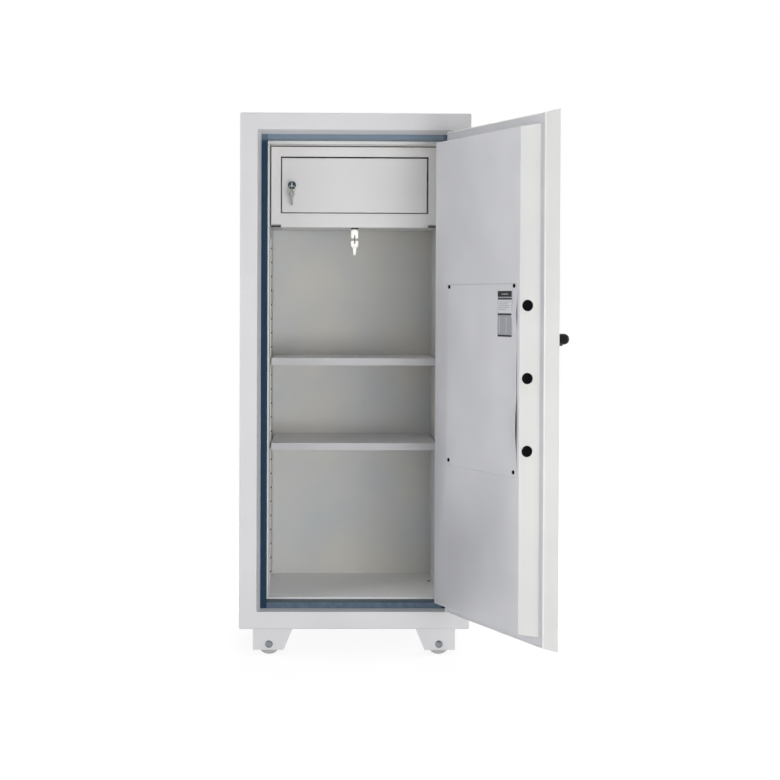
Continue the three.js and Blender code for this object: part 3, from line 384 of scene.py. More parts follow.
def finished(node, finish, radius_mm, steps=2, fold_mm=0.0, levels=(min,), place=CABINET):
    """A CAD node as a made piece: whole flat faces instead of triangles, and rounded edges."""
    source = frame["nodes"][node]
    form = bmesh.new()
    form.from_mesh(source.data)
    bmesh.ops.remove_doubles(form, verts=form.verts, dist=SAME_POINT)
    bmesh.ops.dissolve_limit(
        form, angle_limit=SAME_FACE, verts=form.verts, edges=form.edges, use_dissolve_boundaries=False,
    )
    mesh = bpy.data.meshes.new(node + "_finished")
    form.to_mesh(mesh)
    form.free()
    piece = show(node + "_finished", mesh, body_of(source)[0], finish, [node])
    if fold_mm:
        round_folds(piece, place, levels, fold_mm, radius_mm, steps)
    elif radius_mm:
        round_edges(piece, radius_mm, steps)
    return piece


def second_finish(piece, finish, place, wanted):
    """Gives the faces that wanted picks, by middle and normal in mm of a place, another finish."""
    mesh = piece.data
    mesh.materials.append(FINISHES[finish])
    slot = len(mesh.materials) - 1
    to_place = place.inverted() @ TO_MM
    turn = place.inverted().to_3x3()
    for face in mesh.polygons:
        if wanted(to_place @ face.center, (turn @ face.normal).normalized()):
            face.material_index = slot


def strips(name, place, body, finish, blocks, edge_mm=0.15):
    """Straight strips as one piece, from pairs of corners in mm."""
    form = bmesh.new()
    for low, high in blocks:
        boxed(form, low, high)
    return round_edges(made(name, form, place, body, finish), edge_mm)


def moulded(node, finish, grain_mm, rounds):
    """A CAD node as a moulding: one skin with every corner softened."""
    piece = finished(node, finish, 0)
    skin = piece.modifiers.new("skin", "REMESH")
    skin.mode = "VOXEL"
    skin.voxel_size = grain_mm * MM
    skin.use_smooth_shade = True
    soft = piece.modifiers.new("softened", "SMOOTH")
    soft.factor = 0.5
    soft.iterations = rounds
    return piece


def boxed(form, low, high):
    """Adds a block to a form, between two corners in mm."""
    size = [b - a for a, b in zip(low, high)]
    middle = [(a + b) / 2 for a, b in zip(low, high)]
    matrix = Matrix.Translation(middle) @ Matrix.Diagonal((*size, 1))
    return bmesh.ops.create_cube(form, size=1.0, matrix=matrix)["verts"]


def turned(form, profile, centre, axis="Y", steps=48):
    """Adds a turned shape to a form, from (radius, height) points along an axis through centre."""
    turn = {
        "X": Matrix.Rotation(QUARTER, 4, "Y"),
        "Y": Matrix.Rotation(-QUARTER, 4, "X"),
        "Z": Matrix.Identity(4),
    }[axis]
    angles = [2 * math.pi * i / steps for i in range(steps)]
    rings = []
    for radius, height in profile:
        if radius < ON_AXIS:
            rings.append([form.verts.new((0, 0, height))])
            continue
        rings.append([form.verts.new((radius * math.cos(a), radius * math.sin(a), height)) for a in angles])
    for low, high in zip(rings, rings[1:]):
        for i in range(steps):
            j = (i + 1) % steps
            corners = [low[i % len(low)], low[j % len(low)], high[j % len(high)], high[i % len(high)]]
            unique = list(dict.fromkeys(corners))
            if len(unique) > 2:
                form.faces.new(unique)
    points = [v for ring in rings for v in ring]
    bmesh.ops.transform(form, matrix=Matrix.Translation(centre) @ turn, verts=points)
    return points


def made(name, form, place, body, finish, stands_for=(), smooth=True):
    """Turns a form drawn in mm into a piece, put in place by a matrix."""
    bmesh.ops.recalc_face_normals(form, faces=form.faces)
    bmesh.ops.transform(form, matrix=Matrix.Diagonal((MM, MM, MM, 1)) @ place, verts=form.verts)
    mesh = bpy.data.meshes.new(name)
    form.to_mesh(mesh)
    form.free()
    return show(name, mesh, body, finish, stands_for, smooth)


# Cabinet

def rivet_heads(form, places, y):
    """Domed blind rivets on the back face, at these X and Z."""
    radius, height, sunk = 3.4, 1.3, 0.3
    dome = [(radius * math.cos(turn), height * math.sin(turn)) for turn in (0, 0.5, 1.0, QUARTER)]
    for x, z in places:
        turned(form, [(0, -sunk), (radius, -sunk), *dome], (x, y, z), "Y", 20)


def floor_plug():
    """A small black plug in the cabinet's floor, beside the right wall."""
    radius, floor = 4.0, 64.2
    spot = (198.0, 296.0, 0)
    # Heights over the floor: the straight rim, the end of the rounding and the top; then the rounding's width
    rim, shoulder, top, rounded = 0.8, 1.6, 1.9, 0.9
    crown = [(radius, floor + rim), (radius - rounded, floor + shoulder), (0, floor + top)]
    form = bmesh.new()
    turned(form, [(0, floor), (radius, floor), *crown], spot, "Z", 28)
    made("floor_plug", form, CABINET, "cabinet", "black_plastic")


# The shelf rails' slots: the top one's height, their pitch and how many there are
SLOT_TOP, SLOT_PITCH, SLOT_COUNT = 913.1, 34.9, 24
# The slots that the two shelves hook into, counted from the top one
SHELF_STEPS = (8, 14)


def slot_shade_plugs():
    """Small black plugs in the free slots of the front shelf rails, as painted shade where the slots show
    dark.
    """
    for side, end in (("left", -1), ("right", 1)):
        low, high = extent("shelf_rail_front_" + side, CABINET)
        face = low.x if end > 0 else high.x
        middle = (low.y + high.y) / 2
        sunk, proud, half_wide, half_tall = 1.2, 2.4, 5.2, 2.0
        inner, outer = sorted((face + end * sunk, face - end * proud))
        form = bmesh.new()
        for step in range(SLOT_COUNT):
            if step in SHELF_STEPS:
                continue
            z = SLOT_TOP - step * SLOT_PITCH
            near = (inner, middle - half_wide, z - half_tall)
            far = (outer, middle + half_wide, z + half_tall)
            boxed(form, near, far)
        plugs = made("slot_shade_plugs_" + side, form, CABINET, "cabinet", "black_plastic")
        round_edges(plugs, 0.8, 3)


def cabinet():
    """The body of the safe with its liner, shelves, hinges and back cover."""
    finished("outer_shell", "shell_coat", 0.6, 4, fold_mm=3.6, levels=(min, max))
    finished("back_cover", "shell_coat", 0.5)
    low, high = extent("back_cover", CABINET)
    form = bmesh.new()
    inset, sunk = 11.0, 0.3
    across, up = 4, 7
    columns = [low.x + inset + i * (high.x - low.x - 2 * inset) / (across - 1) for i in range(across)]
    rows = [low.z + inset + i * (high.z - low.z - 2 * inset) / (up - 1) for i in range(up)]
    places = [(x, z) for x in columns for z in (rows[0], rows[-1])]
    places += [(x, z) for x in (columns[0], columns[-1]) for z in rows[1:-1]]
    rivet_heads(form, places, high.y + sunk)
    made("back_cover_rivets", form, CABINET, "cabinet", "zinc")
    finished("body_insulation", "fill", 0)
    finished("seal_frame", "seal", 0.6, 3)
    liner = finished("inner_liner", "inner_coat", 0.5)
    # The liner's flange and floor, which get copies of its paint painted lighter as painted light, are told
    # by their place, in mm, and by which way they face
    near, floor, facing = 0.5, 100.0, 0.9
    flange = extent("inner_liner", CABINET)[0].y + near
    second_finish(liner, "flange_coat_painted_lighter", CABINET, lambda at, normal: at.y < flange and normal.y < -facing)
    second_finish(liner, "floor_coat_painted_lighter", CABINET, lambda at, normal: at.z < floor and normal.z > facing)
    for side in ("left", "right"):
        finished("shelf_rail_front_" + side, "inner_coat", 0.4)
        finished("shelf_rail_rear_" + side, "inner_coat", 0.4)
        finished("drawer_runner_" + side, "zinc", 0.3)
    for level in ("upper", "lower"):
        shelf = finished("shelf_" + level, "case_coat", 0.5, 3)
        # The shelves' front faces get their paint painted darker, as painted shade
        second_finish(shelf, "shelf_front_painted_shade", CABINET, lambda at, normal: normal.y < -SLOPING)
    floor_plug()
    slot_shade_plugs()
    for end in ("lower", "upper"):
        finished("hinge_body_" + end, "shell_coat", 0.6)
        finished("hinge_door_" + end, "door_coat", 0.6)


def axle_bolt(corner):
    """A hexagon bolt on a washer through the foot, with its nut behind."""
    node = "axle_bolt_" + corner
    low, high = extent(node, CABINET)
    bracket_low, bracket_high = extent("foot_bracket_" + corner, CABINET)
    centre = ((low.x + high.x) / 2, 0, (low.z + high.z) / 2)
    # Radii first, then the washer's thickness and the nut's height
    washer, shank, head, nut = 9.0, 5.0, 7.6, 8.4
    thick, nut_tall = 1.4, 7.5
    play, cut, chamfer = 0.2, 0.6, 1.3
    face, back = bracket_low.y - play, bracket_high.y + play
    bore = shank + play
    ring = [(bore, face), (washer, face), (washer, face - thick), (bore, face - thick), (bore, face)]
    form = bmesh.new()
    turned(form, ring, centre, "Y", 32)
    washer_piece = made("axle_washer_" + corner, form, CABINET, "cabinet", "bolt_zinc")
    round_edges(washer_piece, 0.3)
    under, start, tip = face - 1.5, face - 1.4, high.y
    thread, top = shank + 0.1, back + nut_tall
    form = bmesh.new()
    hexagon = [(0, under), (head, under), (head, low.y + 0.8), (head - chamfer, low.y), (0, low.y)]
    turned(form, hexagon, centre, "Y", 6)
    turned(form, [(0, start), (shank, start), (shank, tip - cut), (shank - cut, tip), (0, tip)], centre)
    turned(form, [(thread, back), (nut, back), (nut, top), (thread, top), (thread, back)], centre, "Y", 6)
    piece = made(node + "_finished", form, CABINET, "cabinet", "bolt_zinc", [node])
    round_edges(piece, 0.5, 3)


def feet():
    """The four foot brackets with their rollers and axle bolts."""
    for row in ("front", "rear"):
        for side in ("left", "right"):
            corner = row + "_" + side
            finished("foot_bracket_" + corner, "shell_coat", 1.2, 3)
            finished("roller_" + corner, "roller", 0.8, 3)
            axle_bolt(corner)


# Deposit drawer

def case_gap_shade_strips():
    """Black foam strips, as painted shade, that close the gaps round the drawer's case and round its front.
    """
    low, high = extent("drawer_case_front", CABINET)
    front_low, front_high = extent("drawer_front", CABINET)
    face = low.y
    # How deep the foam goes, how wide it is beside and over the case, its clearance, and where it starts
    deep, beside, clear, start = 4.0, 2.1, 0.15, 6.0
    roof = high.z + 1.6
    blocks = [
        ((low.x, face - 0.5, high.z - 0.4), (high.x, face - 0.1, roof)),
        ((low.x, face - 0.3, high.z + clear), (high.x, face + deep, roof)),
        ((low.x - beside, face + 0.4, low.z + start), (low.x - clear, face + deep, roof)),
        ((high.x + clear, face + 0.4, low.z + start), (high.x + beside, face + deep, roof)),
    ]
    # Half the width of the pan under the case, how far the foam goes past it, and the case's lower shoulder
    pan_half, past, shoulder = 180.0, 1.5, 968.2
    for ends in ((-pan_half - past, low.x + 0.5), (high.x - 0.5, pan_half + past)):
        blocks.append(((min(ends), face + 0.6, shoulder - 3.4), (max(ends), face + 3, shoulder - 0.1)))
    strips("case_edge_shade_strips", CABINET, "cabinet", "foam", blocks)
    tray_low, tray_high = extent("drawer_tray", CABINET)
    # The gap round the drawer's front, how much of it the foam leaves free, the foam's play and its depth
    gap, free, play, deep = 2.0, 0.1, 0.35, 7.0
    left, right = front_low.x - gap + free, front_high.x + gap - free
    foot, head = front_low.z - gap + free, front_high.z + gap - free
    blocks = [
        ((left - 1.0, face - 0.4, head - 0.1), (right + 0.6, face - 0.1, head + 1.2)),
        ((left, face - 0.3, front_high.z + play), (right, face + deep, head)),
        ((left, face + 1.0, foot), (right, face + deep, front_low.z - play)),
        ((left, face - 0.3, foot), (tray_low.x - play, face + deep, head)),
        ((left - 0.7, face - 0.4, foot), (left + 0.1, face - 0.1, head)),
        ((tray_high.x + play, face - 0.3, foot), (right, face + deep, head)),
        ((right - 0.1, face - 0.4, foot), (right + 0.7, face - 0.1, head)),
    ]
    strips("drawer_gap_shade_strips", CABINET, "cabinet", "foam", blocks, 0.1)


def flat_key(name, body, outline, eye, y, stands_for):
    """A stamped key blank with an eye, from outlines of (across, up) points in mm."""
    half_thick, rounded = 0.7, 0.25
    curve = bpy.data.curves.new(name, "CURVE")
    curve.dimensions = "2D"
    curve.fill_mode = "BOTH"
    curve.extrude = half_thick
    curve.bevel_depth = rounded
    curve.bevel_resolution = 1
    for points in (outline, eye):
        spline = curve.splines.new("POLY")
        spline.points.add(len(points) - 1)
        for point, (x, z) in zip(spline.points, points):
            point.co = (x, z, 0.0, 1.0)
        spline.use_cyclic_u = True
    holder = bpy.data.objects.new(name, curve)
    mesh = bpy.data.meshes.new_from_object(holder)
    bpy.data.objects.remove(holder)
    bpy.data.curves.remove(curve)
    form = bmesh.new()
    form.from_mesh(mesh)
    bpy.data.meshes.remove(mesh)
    bmesh.ops.remove_doubles(form, verts=form.verts, dist=SAME_POINT / MM)
    stand = Matrix.Translation((0, y, 0)) @ Matrix.Rotation(QUARTER, 4, "X")
    bmesh.ops.transform(form, matrix=stand, verts=form.verts)
    made(name, form, CABINET, body, "bright_nickel", stands_for)


def arc(x, z, radius, start, end, steps=10):
    """Points on an arc between two angles in degrees."""
    turns = [math.radians(start + (end - start) * i / steps) for i in range(steps + 1)]
    return [(x + radius * math.cos(turn), z + radius * math.sin(turn)) for turn in turns]


def base_keys():
    """The key in the lock under the case, and its spare on a ring: arched bows with an eye near the rim."""
    low, high = extent("base_key", CABINET)
    x, y = (low.x + high.x) / 2, (low.y + high.y) / 2
    # Half the bow's width, half the stem's width, the bow's lower corners, and where its arch is drawn from
    half, stem, corner = 8.7, 3.4, 2.5
    bow, crown = low.z + 4.0, low.z + 17.5
    neck = crown + 7.6
    outline = [(x + stem, high.z), (x - stem, high.z), (x - stem, neck)]
    outline += arc(x, crown, half, 115, 180) + arc(x - half + corner, bow, corner, 180, 270, 4)
    outline += arc(x + half - corner, bow, corner, 270, 360, 4) + arc(x, crown, half, 0, 65)
    outline += [(x + stem, neck)]
    # The eye: half its width near the rim and at its far end, and the heights at which these lie
    wide, narrow, foot, head = 2.6, 1.3, low.z + 2.7, low.z + 10.5
    eye = [(x - wide, foot), (x + wide, foot), (x + narrow, head), (x - narrow, head)]
    body = body_of(frame["nodes"]["base_key"])[0]
    flat_key("base_key_stamped", body, outline, eye, y, ["base_key"])
    spare_low = extent("base_spare_key", CABINET)[0]
    body = body_of(frame["nodes"]["base_spare_key"])[0]
    top = low.z - 4.5
    middle = top - 9.5
    half, corner, taper, point = 9.0, 3, 0.8, 2
    blade, tip = middle - 14, spare_low.z
    outline = arc(x - half + corner, top - corner, corner, 180, 90, 4)
    outline += arc(x + half - corner, top - corner, corner, 90, 0, 4)
    outline += arc(x, middle, half, 0, -65) + [(x + stem, blade), (x + stem * taper, tip + point)]
    outline += [(x, tip), (x - stem * taper, tip + point), (x - stem, blade)]
    outline += arc(x, middle, half, 245, 180)
    wide, narrow, head = 3.6, 0.6, top - 1.5
    eye = [(x - wide, head), (x - narrow, middle), (x + narrow, middle), (x + wide, head)]
    flat_key("base_spare_key_stamped", body, outline, eye, y, ["base_spare_key"])
    # The ring goes through both eyes, at these heights
    upper, lower = low.z + 6, top - 4
    centre = (x, y, (upper + lower) / 2)
    reach = (upper - lower) / 2
    form = bmesh.new()
    wire, sides = 0.7, 8
    turns = [2 * math.pi * i / sides for i in range(sides + 1)]
    bend = [(reach + wire * math.cos(turn), wire * math.sin(turn)) for turn in turns]
    turned(form, bend, centre, "X", 28)
    bmesh.ops.remove_doubles(form, verts=form.verts, dist=SAME_POINT / MM)
    made("base_key_ring", form, CABINET, body, "black_steel")


def drawer():
    """The deposit drawer with its case, and the two locks with their keys."""
    finished("drawer_case", "inner_coat", 0.5)
    finished("drawer_case_front", "case_coat", 0.6, 3)
    finished("drawer_front", "case_coat", 0.4, 3, fold_mm=1.4)
    case_gap_shade_strips()
    finished("drawer_tray", "inner_coat", 0.5)
    finished("drawer_lock_body", "smoked_chrome", 0.6, 3)
    finished("drawer_lock_plug", "smoked_chrome", 0.2)
    finished("drawer_key", "nickel", 0.3)
    finished("drawer_spare_key", "nickel", 0.2)
    finished("base_lock_body", "smoked_chrome", 0.6, 3)
    finished("base_lock_plug", "nickel", 0.2)
    base_keys()


# Door

# Where the access panel's free edge bows up: share of its height, spread and rise in mm
PANEL_BOWS = ((0.84, 0.055, 1.8), (0.27, 0.13, 3.5), (0.55, 0.1, 0.8))
PANEL_BOW_REACH = 28.0


def panel_rise(up):
    """How far the panel's free edge stands up, in mm, at a share of its height."""
    return sum(lift * math.exp(-((up - at) / spread) ** 2) for at, spread, lift in PANEL_BOWS)


def panel_shade_gasket():
    """Black foam under the panel's edges as painted shade, which shows as a thin line and where the edge bows
    up.
    """
    low, high = extent("access_panel", SHUT_DOOR)
    face = extent("door_plug_casing", SHUT_DOOR)[1].y + 0.05
    under = low.y - 0.05
    wide, proud = 3.0, 0.35
    strips("panel_shade_gasket", SHUT_DOOR, "door", "foam", [
        ((high.x - wide, face, low.z - proud), (high.x + proud, under, high.z + proud)),
        ((low.x + wide, face, high.z - wide), (high.x - wide, under, high.z + proud)),
        ((low.x + wide, face, low.z - proud), (high.x - wide, under, low.z + wide)),
    ], 0.05)
    form = bmesh.new()
    rows, inset = 64, 0.3
    lines = []
    for j in range(rows + 1):
        up = j / rows
        z = low.z + up * (high.z - low.z)
        ends = [(low.x + inset, face), (low.x + wide, face)]
        ends += [(x, under - 0.05 + panel_rise(up) * math.exp(-(x - low.x) / PANEL_BOW_REACH))
                 for x in (low.x + wide, low.x + inset)]
        lines.append([form.verts.new((x, y, z)) for x, y in ends])
    for near, far in zip(lines, lines[1:]):
        for i in range(4):
            j = (i + 1) % 4
            form.faces.new((near[i], near[j], far[j], far[i]))
    form.faces.new(lines[0])
    form.faces.new(lines[-1])
    made("panel_gasket_bowed", form, SHUT_DOOR, "door", "foam")


def bowed_panel():
    """The thin access panel, which its screws hold down and which bows up between them."""
    low, high = extent("access_panel", SHUT_DOOR)
    width, height = high.x - low.x, high.z - low.z
    # The columns crowd towards the free edge, where the panel bends most
    columns, rows, crowding = 18, 64, 1.6
    form = bmesh.new()
    layers = []
    for y in (low.y, high.y):
        grid = []
        for i in range(columns + 1):
            across = width * (i / columns) ** crowding
            line = []
            for j in range(rows + 1):
                up = j / rows
                y_at = y + panel_rise(up) * math.exp(-across / PANEL_BOW_REACH)
                line.append(form.verts.new((low.x + across, y_at, low.z + up * height)))
            grid.append(line)
        layers.append(grid)
    for grid in layers:
        for i in range(columns):
            for j in range(rows):
                form.faces.new((grid[i][j], grid[i + 1][j], grid[i + 1][j + 1], grid[i][j + 1]))
    near, far = layers
    rim = [(i, 0) for i in range(columns)] + [(columns, j) for j in range(rows)]
    rim += [(i, rows) for i in range(columns, 0, -1)] + [(0, j) for j in range(rows, 0, -1)]
    for (i, j), (k, l) in zip(rim, rim[1:] + rim[:1]):
        form.faces.new((near[i][j], near[k][l], far[k][l], far[i][j]))
    piece = made("access_panel_bowed", form, SHUT_DOOR, "door", "plug_coat", ["access_panel"])
    round_edges(piece, 0.3)


def cross_screw(number):
    """A black pan-head screw with a cross recess."""
    node = f"panel_screw_{number}"
    low, high = extent(node, SHUT_DOOR)
    centre = ((low.x + high.x) / 2, 0, (low.z + high.z) / 2)
    shank, rim, dome = 1.7, 1.0, 1.6
    head = (high.x - low.x) / 2 + 0.8
    under = high.y - dome
    recess_half, recess_reach, recess_deep, recess_from = 0.55, 0.62, 0.8, 1.9
    form = bmesh.new()
    turns = (0.0, 0.5, 0.9, 1.15, 1.35)
    crown = [(head * math.cos(turn), under + rim + dome * math.sin(turn)) for turn in turns]
    profile = [(0, low.y), (shank, low.y), (shank, under), (head, under), *crown, (0, high.y + rim)]
    for point in turned(form, profile, centre, "Y", 32):
        across, up = abs(point.co.x - centre[0]), abs(point.co.z - centre[2])
        on_top = point.co.y > under + recess_from
        if on_top and min(across, up) < recess_half and max(across, up) < recess_reach * head:
            point.co.y -= recess_deep
    made(node + "_finished", form, SHUT_DOOR, "door", "black_steel", [node])


# The label's plain fields: finish, share of its width and share of its height
LABEL_FIELDS = (
    ("border_top", "label_pale", (0.0, 1.0), (0.966, 1.0)),
    ("header", "label_dark", (0.05, 0.97), (0.842, 0.964)),
    ("header_bar", "label", (0.3, 0.74), (0.89, 0.91)),
    ("rule_upper", "label_dark", (0.05, 0.97), (0.787, 0.816)),
    ("field_upper", "label_pale", (0.05, 0.97), (0.503, 0.776)),
    ("rule_lower", "label_dark", (0.05, 0.97), (0.459, 0.493)),
    ("edge_hinge", "label_pale", (0.0, 0.035), (0.0, 0.966)),
    ("edge_free", "label_pale", (0.985, 1.0), (0.0, 0.966)),
    ("column_1", "label_pale", (0.14, 0.165), (0.08, 0.42)),
    ("column_2", "label_pale", (0.6, 0.62), (0.08, 0.42)),
    ("foot", "label_dark", (0.05, 0.97), (0.012, 0.045)),
)
# Grey writing lines on the pale field: share of the width and of the height
LABEL_LINES = (
    ((0.1, 0.9), 0.735),
    ((0.1, 0.72), 0.695),
    ((0.1, 0.88), 0.655),
    ((0.1, 0.8), 0.615),
    ((0.1, 0.6), 0.575),
)


def label():
    """A plain film label with a dark header and pale fields, and no lettering."""
    finished("label_plate", "label", 0.1)
    low, high = extent("label_plate", SHUT_DOOR)
    width, height = high.x - low.x, high.z - low.z
    sunk = 0.02
    for name, finish, across, up in LABEL_FIELDS:
        proud = 0.14 if name == "header_bar" else 0.1
        form = bmesh.new()
        near = (low.x + (1 - across[1]) * width, high.y - sunk, low.z + up[0] * height)
        far = (low.x + (1 - across[0]) * width, high.y + proud, low.z + up[1] * height)
        boxed(form, near, far)
        piece = made("label_" + name, form, SHUT_DOOR, "door", finish)
        round_edges(piece, 0.03)
    # Each writing line: half its height as a share, and how far it starts and ends off the label in mm
    half_share, start, end = 0.006, 0.08, 0.13
    strips("label_lines", SHUT_DOOR, "door", "label", [
        ((high.x - across[1] * width, high.y + start, low.z + (up - half_share) * height),
         (high.x - across[0] * width, high.y + end, low.z + (up + half_share) * height))
        for across, up in LABEL_LINES
    ], 0.02)


def locking_bolt(number):
    """A turned black bolt: chamfered nose with a shallow groove and a centre mark from the lathe."""
    node = f"locking_bolt_{number}"
    low, high = extent(node, SHUT_DOOR)
    centre = (0, (low.y + high.y) / 2, (low.z + high.z) / 2)
    radius = (high.z - low.z) / 2
    tip, end = low.x, high.x
    profile = [
        (0, tip + 1.8), (1.6, tip + 0.5), (1.9, tip), (radius * 0.58, tip), (radius * 0.62, tip + 0.5),
        (radius * 0.68, tip + 0.5), (radius * 0.72, tip), (radius - 1.5, tip), (radius - 0.4, tip + 0.6),
        (radius, tip + 1.6), (radius, end), (0, end),
    ]
    form = bmesh.new()
    turned(form, profile, centre, "X", 64)
    made(node + "_finished", form, SHUT_DOOR, "boltwork", "black_steel", [node])


def numeral(form, digits, size, thick, place):
    """Adds solid digits to a form, centred and placed by a matrix in mm."""
    curve = bpy.data.curves.new("digits", "FONT")
    curve.body = digits
    curve.size = size
    curve.extrude = thick / 2
    curve.align_x = "CENTER"
    curve.align_y = "CENTER"
    holder = bpy.data.objects.new("digits", curve)
    mesh = bpy.data.meshes.new_from_object(holder)
    mesh.transform(place)
    form.from_mesh(mesh)
    bpy.data.objects.remove(holder)
    bpy.data.meshes.remove(mesh)
    bpy.data.curves.remove(curve)


def root_bead():
    """The painted bead of sealant where the plug meets the door's skin."""
    low, high = extent("door_plug_casing", SHUT_DOOR)
    back = extent("door_skin", SHUT_DOOR)[1].y + 0.1
    wide, tall, clear = 2.6, 2.2, 0.1
    left, right, foot, head = low.x - clear, high.x + clear, low.z - clear, high.z + clear
    corners = ((left, foot, -1, -1), (right, foot, 1, -1), (right, head, 1, 1), (left, head, -1, 1))
    rounding = [(wide * 0.75, back + tall * 0.45), (wide * 0.4, back + tall * 0.8)]
    section = [(0, back), (wide, back), *rounding, (0, back + tall)]
    form = bmesh.new()
    lines = []
    for x, z, dx, dz in corners:
        lines.append([form.verts.new((x + dx * out, y, z + dz * out)) for out, y in section])
    for near, far in zip(lines, lines[1:] + lines[:1]):
        for i in range(len(section)):
            j = (i + 1) % len(section)
            form.faces.new((near[i], near[j], far[j], far[i]))
    # The bead takes the liner flange's coat, which is the liner's paint painted lighter
    made("plug_root_bead", form, SHUT_DOOR, "door", "flange_coat_painted_lighter")


def dial():
    """The combination dial: a dished plate with a ribbed grip, ticks all round and tens in white."""
    low, high = extent("combination_dial", SHUT_DOOR)
    centre = ((low.x + high.x) / 2, 0, (low.z + high.z) / 2)
    plate = (high.x - low.x) / 2
    neck, root, grip, spindle, nose = 18.0, 23.0, 22.6, 3.6, low.y
    # The plate's clearance to its ring, its rim's thickness, and how deep it is dished
    play, edge, drop = 0.35, 1.4, 2.8
    back = extent("dial_ring", SHUT_DOOR)[0].y - play
    dish = plate - root
    slope = math.atan2(drop, dish)
    steps, ribs, rib_high = 180, 60, 0.5
    form = bmesh.new()
    points = turned(form, [
        (0, back), (plate - 0.6, back), (plate, back - 0.5), (plate, back - edge), (root, back - edge - drop),
        (neck, back - 5.0), (neck, back - 7.6), (grip, back - 10.0), (grip, nose + 2.4),
        (grip - 2.2, nose + 0.4), (grip - 6, nose), (0, nose + 0.6),
    ], centre, "Y", steps)
    for point in points:
        offset = Vector((point.co.x - centre[0], 0, point.co.z - centre[2]))
        if grip - 0.1 < offset.length < grip + 0.1:
            ridge = rib_high * math.cos(ribs * math.atan2(offset.z, offset.x))
            point.co += offset.normalized() * ridge
    turned(form, [(0, back), (spindle, back), (spindle, high.y), (0, high.y)], centre, "Y", 24)
    made("combination_dial_finished", form, SHUT_DOOR, "dial", "black_plastic", ["combination_dial"])
    # The ticks: how many, how far in from the plate's edge, and their lengths, half width and thickness
    count, tens, margin = 100, 10, 0.8
    long, medium, short = 5.0, 3.6, 2.2
    half_wide, proud, sunk = 0.16, 0.35, 0.25
    rim = plate - margin
    ticks = bmesh.new()
    for i in range(count):
        length = long if i % 10 == 0 else medium if i % 5 == 0 else short
        turn = Matrix.Translation(centre) @ Matrix.Rotation(2 * math.pi * i / count, 4, "Y")
        face = back - edge - 0.5 * (length + margin) / dish * drop
        corners = boxed(ticks, (-half_wide, face - proud, rim - length), (half_wide, face + sunk, rim))
        pivot = Matrix.Translation((0, face, rim - length / 2))
        leaned = turn @ pivot @ Matrix.Rotation(slope, 4, "X") @ pivot.inverted()
        bmesh.ops.transform(ticks, matrix=leaned, verts=corners)
    made("dial_ticks", ticks, SHUT_DOOR, "dial", "paint_white", smooth=False)
    # The numbers: their height, their thickness, and their place on the dished plate
    tall, thick, behind, inwards = 4.4, 0.25, 3.1, 9.3
    numbers = bmesh.new()
    spot = Matrix.Translation((0, back - behind, plate - inwards))
    lean = Matrix.Rotation(slope, 4, "X")
    upright = Matrix.Rotation(QUARTER, 4, "X")
    for ten in range(tens):
        turn = Matrix.Translation(centre) @ Matrix.Rotation(2 * math.pi * ten / tens, 4, "Y")
        numeral(numbers, str(10 * ten), tall, thick, turn @ spot @ lean @ upright)
    made("dial_numbers", numbers, SHUT_DOOR, "dial", "paint_white", smooth=False)


def door():
    """The door with its boltwork, label, handle and dial."""
    finished("door_skin", "door_coat", 0.5, 3, fold_mm=2.2, place=SHUT_DOOR)
    finished("door_insulation", "fill", 0)
    casing = finished("door_plug_casing", "plug_coat", 0.4, 4, fold_mm=2.8, levels=(max,), place=SHUT_DOOR)
    second_finish(casing, "plug_side", SHUT_DOOR, lambda at, normal: abs(normal.y) < SLOPING)
    root_bead()
    bowed_panel()
    panel_shade_gasket()
    for number in range(1, 5):
        cross_screw(number)
    label()
    for number in range(1, 4):
        locking_bolt(number)
    finished("bolt_bar", "zinc", 0.4)
    finished("handle_spindle", "zinc", 0.4)
    finished("handle_rosette", "black_plastic", 0.5)
    moulded("handle_lever", "black_zinc", 1.0, 8)
    finished("dial_ring", "satin_nickel", 0.5)
    dial()
    finished("lock_case", "zinc", 1.0)


# Studio

def studio_floor():
    """A wide pale floor that looks white to the camera and keeps the safe's shadow."""
    mesh = bpy.data.meshes.new("floor")
    reach = 14.0
    outline = ((-reach, -reach), (reach, -reach), (reach, reach), (-reach, reach))
    mesh.from_pydata([(x, y, FLOOR * MM) for x, y in outline], [], [(0, 1, 2, 3)])
    floor = bpy.data.objects.new("floor", mesh)
    bpy.context.scene.collection.objects.link(floor)
    material = bpy.data.materials.new("studio_floor")
    material.use_nodes = True
    tree = material.node_tree
    tree.nodes.clear()
    paper = add(tree, "ShaderNodeBsdfDiffuse", Color=(0.86, 0.86, 0.86, 1.0))
    place = add(tree, "ShaderNodeTexCoord").outputs["Object"]
    away = add(tree, "ShaderNodeVectorMath", [(0, place)], operation="LENGTH").outputs["Value"]
    near, far = 0.9, 2.2
    strength = add(
        tree, "ShaderNodeMapRange", [("Value", away)],
        From_Min=near, From_Max=far, To_Min=1.24, To_Max=1.0,
    )
    whiteness = add(
        tree, "ShaderNodeMapRange", [("Value", away)],
        From_Min=near, From_Max=far, To_Min=0.7, To_Max=1.0,
    )
    glow = add(tree, "ShaderNodeEmission", [("Strength", strength.outputs[0])], Color=(1.0, 1.0, 1.0, 1.0))
    rays = add(tree, "ShaderNodeLightPath").outputs
    sight = [(0, rays["Is Camera Ray"]), (1, rays["Is Glossy Ray"])]
    seen = add(tree, "ShaderNodeMath", sight, operation="MAXIMUM")
    factors = [(0, seen.outputs[0]), (1, whiteness.outputs[0])]
    share = add(tree, "ShaderNodeMath", factors, operation="MULTIPLY")
    layers = [(0, share.outputs[0]), (1, paper.outputs[0]), (2, glow.outputs[0])]
    blend = add(tree, "ShaderNodeMixShader", layers)
    add(tree, "ShaderNodeOutputMaterial", [("Surface", blend.outputs[0])])
    mesh.materials.append(material)


